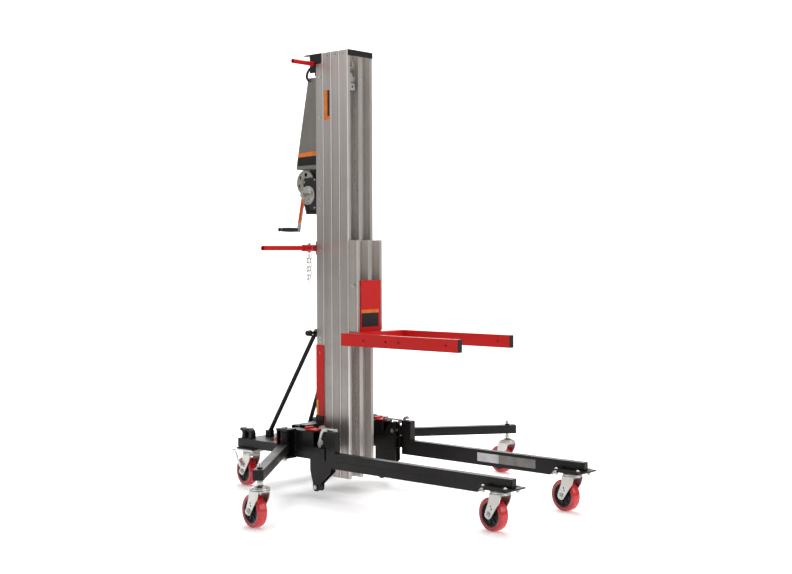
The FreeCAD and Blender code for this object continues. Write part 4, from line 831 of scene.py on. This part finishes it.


# the links use the darkened chain zinc, which is painted shade
ch = Build("retainer_chain_visual", CHAIN_ZINC_PAINTED_SHADE, ZINC_DULL)
for strand, dy, count in ((0, -0.009, 7), (1, 0.009, 6)):
    for k in range(count):
        a = math.radians(90 * (k % 2) + 20 + 30 * strand)
        link(ch, (-0.447, -0.105 + dy + 0.0005 * k * (1 if strand == 0 else -1), 1.047 - k * 0.0185), (math.cos(a), math.sin(a), 0))
ch.sweep([(-0.446 + 0.0195 * math.cos(2 * math.pi * k / 48), -0.105, 1.085 + 0.0195 * math.sin(2 * math.pi * k / 48)) for k in range(48)], 0.0016, 1, 10, closed=True)
ch.m = Matrix.Translation((-0.446, -0.105, 0.0))
ch.lathe([(0.0, 1.0620), (0.0030, 1.0622), (0.0039, 1.0632), (0.0039, 1.1085), (0.0030, 1.1098), (0.0, 1.1100)], 1, 28)
ch.make("base", "retainer_chain", "zinc")

# ------------------------------------------------------------------ winch: outer bearer plate between the big gear and the brake disc
p = Build("winch_bearer_plate", BLACK_DARK, ZINC_DULL, ZINC)
p.m = frame_at((0, -0.0721, 0), (0, -1, 0), (1, 0, 0))
poly = [(-0.514, 1.371), (-0.505, 1.352), (-0.492, 1.300), (-0.470, 1.262), (-0.432, 1.258), (-0.432, 1.402), (-0.505, 1.404), (-0.513, 1.396)]
if (p.m.to_3x3() @ Vector((0, 1, 0))).z < 0:
    p.prism([(x, -z) for x, z in poly][::-1], 0.0, 0.0028, 0, 0.0006)
else:
    p.prism(poly, 0.0, 0.0028, 0, 0.0006)
for x, z in ((-0.4405, 1.394), (-0.4405, 1.268), (-0.506, 1.386)):
    p.hexhead(frame_at((x, -0.0749, z), (0, -1, 0)), 0.0075, 0.0022, 2)
p.make("base")
# rolled rim and hub rings on the outside of the big gear
r = Build("winch_gear_rings", ZINC_DULL)
r.m = frame_at((-0.515, -0.0621, 1.384), (0, -1, 0))
r.lathe([(0.0515, 0.0), (0.0512, 0.0011), (0.0492, 0.0011), (0.0489, 0.0)], 0, 96)
r.lathe([(0.0235, 0.0), (0.0232, 0.0012), (0.0200, 0.0012), (0.0197, 0.0)], 0, 72)
r.hexhead(frame_at((-0.515, -0.0641, 1.384), (0, -1, 0)), 0.017, 0.0050, 0)
r.make("drum", None, "zinc")

# ------------------------------------------------------------------ zinc keeper plates on the outer ends of the leg pins
hw = N["base_hardware"].data.vertices
for s, word in ((-1, "right"), (1, "left")):
    out = 0.262
    for nm in ("base_hardware", "leg_" + word, "latch_" + word, "side_housing_" + word):
        for v in N[nm].data.vertices:
            if v.co.y * s > 0 and math.hypot(v.co.x + 0.217, v.co.z - 0.252) < 0.024 and abs(v.co.y) < 0.285:
                out = max(out, abs(v.co.y))
    st = Build("pin_keeper_" + word, ZINC)
    y = s * (out + 0.00005)
    st.m = frame_at((0, y, 0), (0, s, 0), (1, 0, 0))
    sg = 1 if (st.m.to_3x3() @ Vector((0, 1, 0))).z > 0 else -1
    poly = [(-0.178, 0.300), (-0.178, 0.309), (-0.186, 0.314), (-0.205, 0.310), (-0.216, 0.296), (-0.224, 0.270), (-0.2335, 0.250), (-0.2335, 0.238), (-0.227, 0.231),
            (-0.217, 0.230), (-0.2115, 0.236), (-0.212, 0.244), (-0.2165, 0.247), (-0.2205, 0.2425), (-0.2235, 0.2455), (-0.2215, 0.254), (-0.210, 0.274), (-0.203, 0.291), (-0.194, 0.3005)]
    # outline runs clockwise in x, z; the prism wants it counter-clockwise
    st.prism([(x, z * sg) for x, z in (poly[::-1] if sg > 0 else poly)], 0.0, 0.0028, 0, 0.0)
    st.make("base", None, "zinc")


# ------------------------------------------------------------------ room
floor_me = bpy.data.meshes.new("floor")
bm = bmesh.new()
n_curve = 24
prof = [(-30.0, 0.0)] + [(6.0 + 4.0 * math.sin(math.pi / 2 * k / n_curve), 4.0 - 4.0 * math.cos(math.pi / 2 * k / n_curve)) for k in range(n_curve + 1)] + [(10.0, 16.0)]
rows = []
for dist, z in prof:
    base = F * dist
    rows.append([bm.verts.new(base + RIGHT * x + Vector((0, 0, z - 0.0006))) for x in (-30.0, 30.0)])
for a, b in zip(rows, rows[1:]):
    bm.faces.new((a[0], a[1], b[1], b[0]))
bm.normal_update()
for f in bm.faces:
    f.smooth = True
bm.to_mesh(floor_me)
bm.free()
floor = bpy.data.objects.new("floor", floor_me)
bpy.context.scene.collection.objects.link(floor)
g = Graph("studio_floor")
cl = g.noise(0.8, 3.0, 0.5)
g.set(Base_Color=g.mix(g.rangemap(cl, 0.3, 0.7, 0.0, 1.0), (0.93, 0.93, 0.93, 1), (0.95, 0.95, 0.95, 1)), Roughness=0.75, Specular_IOR_Level=0.15, Emission_Color=(1.0, 1.0, 1.0, 1.0), Emission_Strength=0.22)
g.bump(g.noise(500.0), 0.03, 0.0005, 0.0)
# the sheet is seen from its inner side only, so that it hides nothing from a camera beyond it
tree = g.m.node_tree
end = next(n for n in tree.nodes if n.type == "OUTPUT_MATERIAL")
shade = end.inputs["Surface"].links[0].from_socket
geo, clear, both = (tree.nodes.new(k) for k in ("ShaderNodeNewGeometry", "ShaderNodeBsdfTransparent", "ShaderNodeMixShader"))
tree.links.new(geo.outputs["Backfacing"], both.inputs[0])
tree.links.new(shade, both.inputs[1])
tree.links.new(clear.outputs[0], both.inputs[2])
tree.links.new(both.outputs[0], end.inputs["Surface"])
floor_me.materials.append(g.m)


def lamp(name, place, target, size, power, colour=(1, 1, 1), spread=math.pi):
    ld = bpy.data.lights.new(name, "AREA")
    ld.shape = "RECTANGLE"
    ld.size, ld.size_y = size
    ld.energy = power
    ld.color = colour
    ld.spread = spread
    lo = bpy.data.objects.new(name, ld)
    bpy.context.scene.collection.objects.link(lo)
    z = (Vector(place) - Vector(target)).normalized()
    lo.matrix_world = frame_at(place, z, (0, 0, 1))
    return lo


mid = Vector((-0.1, 0.0, 0.8))
lamp("key_left", mid - RIGHT * 3.6 - F * 1.6 + UP * 2.2, mid, (2.6, 3.4), 34)
lamp("fill_right", mid + RIGHT * 3.6 - F * 2.2 + UP * 1.4, mid, (2.4, 3.2), 62)
lamp("top_soft", mid + UP * 3.8 + F * 0.4, mid, (4.5, 3.5), 150)
lamp("back_wash", mid + F * 5.0 + UP * 5.0, mid + F * 8.0 + UP * 0.5, (8.0, 3.0), 520)

world = bpy.data.worlds.new("studio")
bpy.context.scene.world = world
world.use_nodes = True
world.node_tree.nodes["Background"].inputs["Color"].default_value = (1.0, 1.0, 1.0, 1.0)
world.node_tree.nodes["Background"].inputs["Strength"].default_value = 0.26
bpy.context.scene.view_settings.view_transform = "Standard"
bpy.context.scene.view_settings.look = "None"
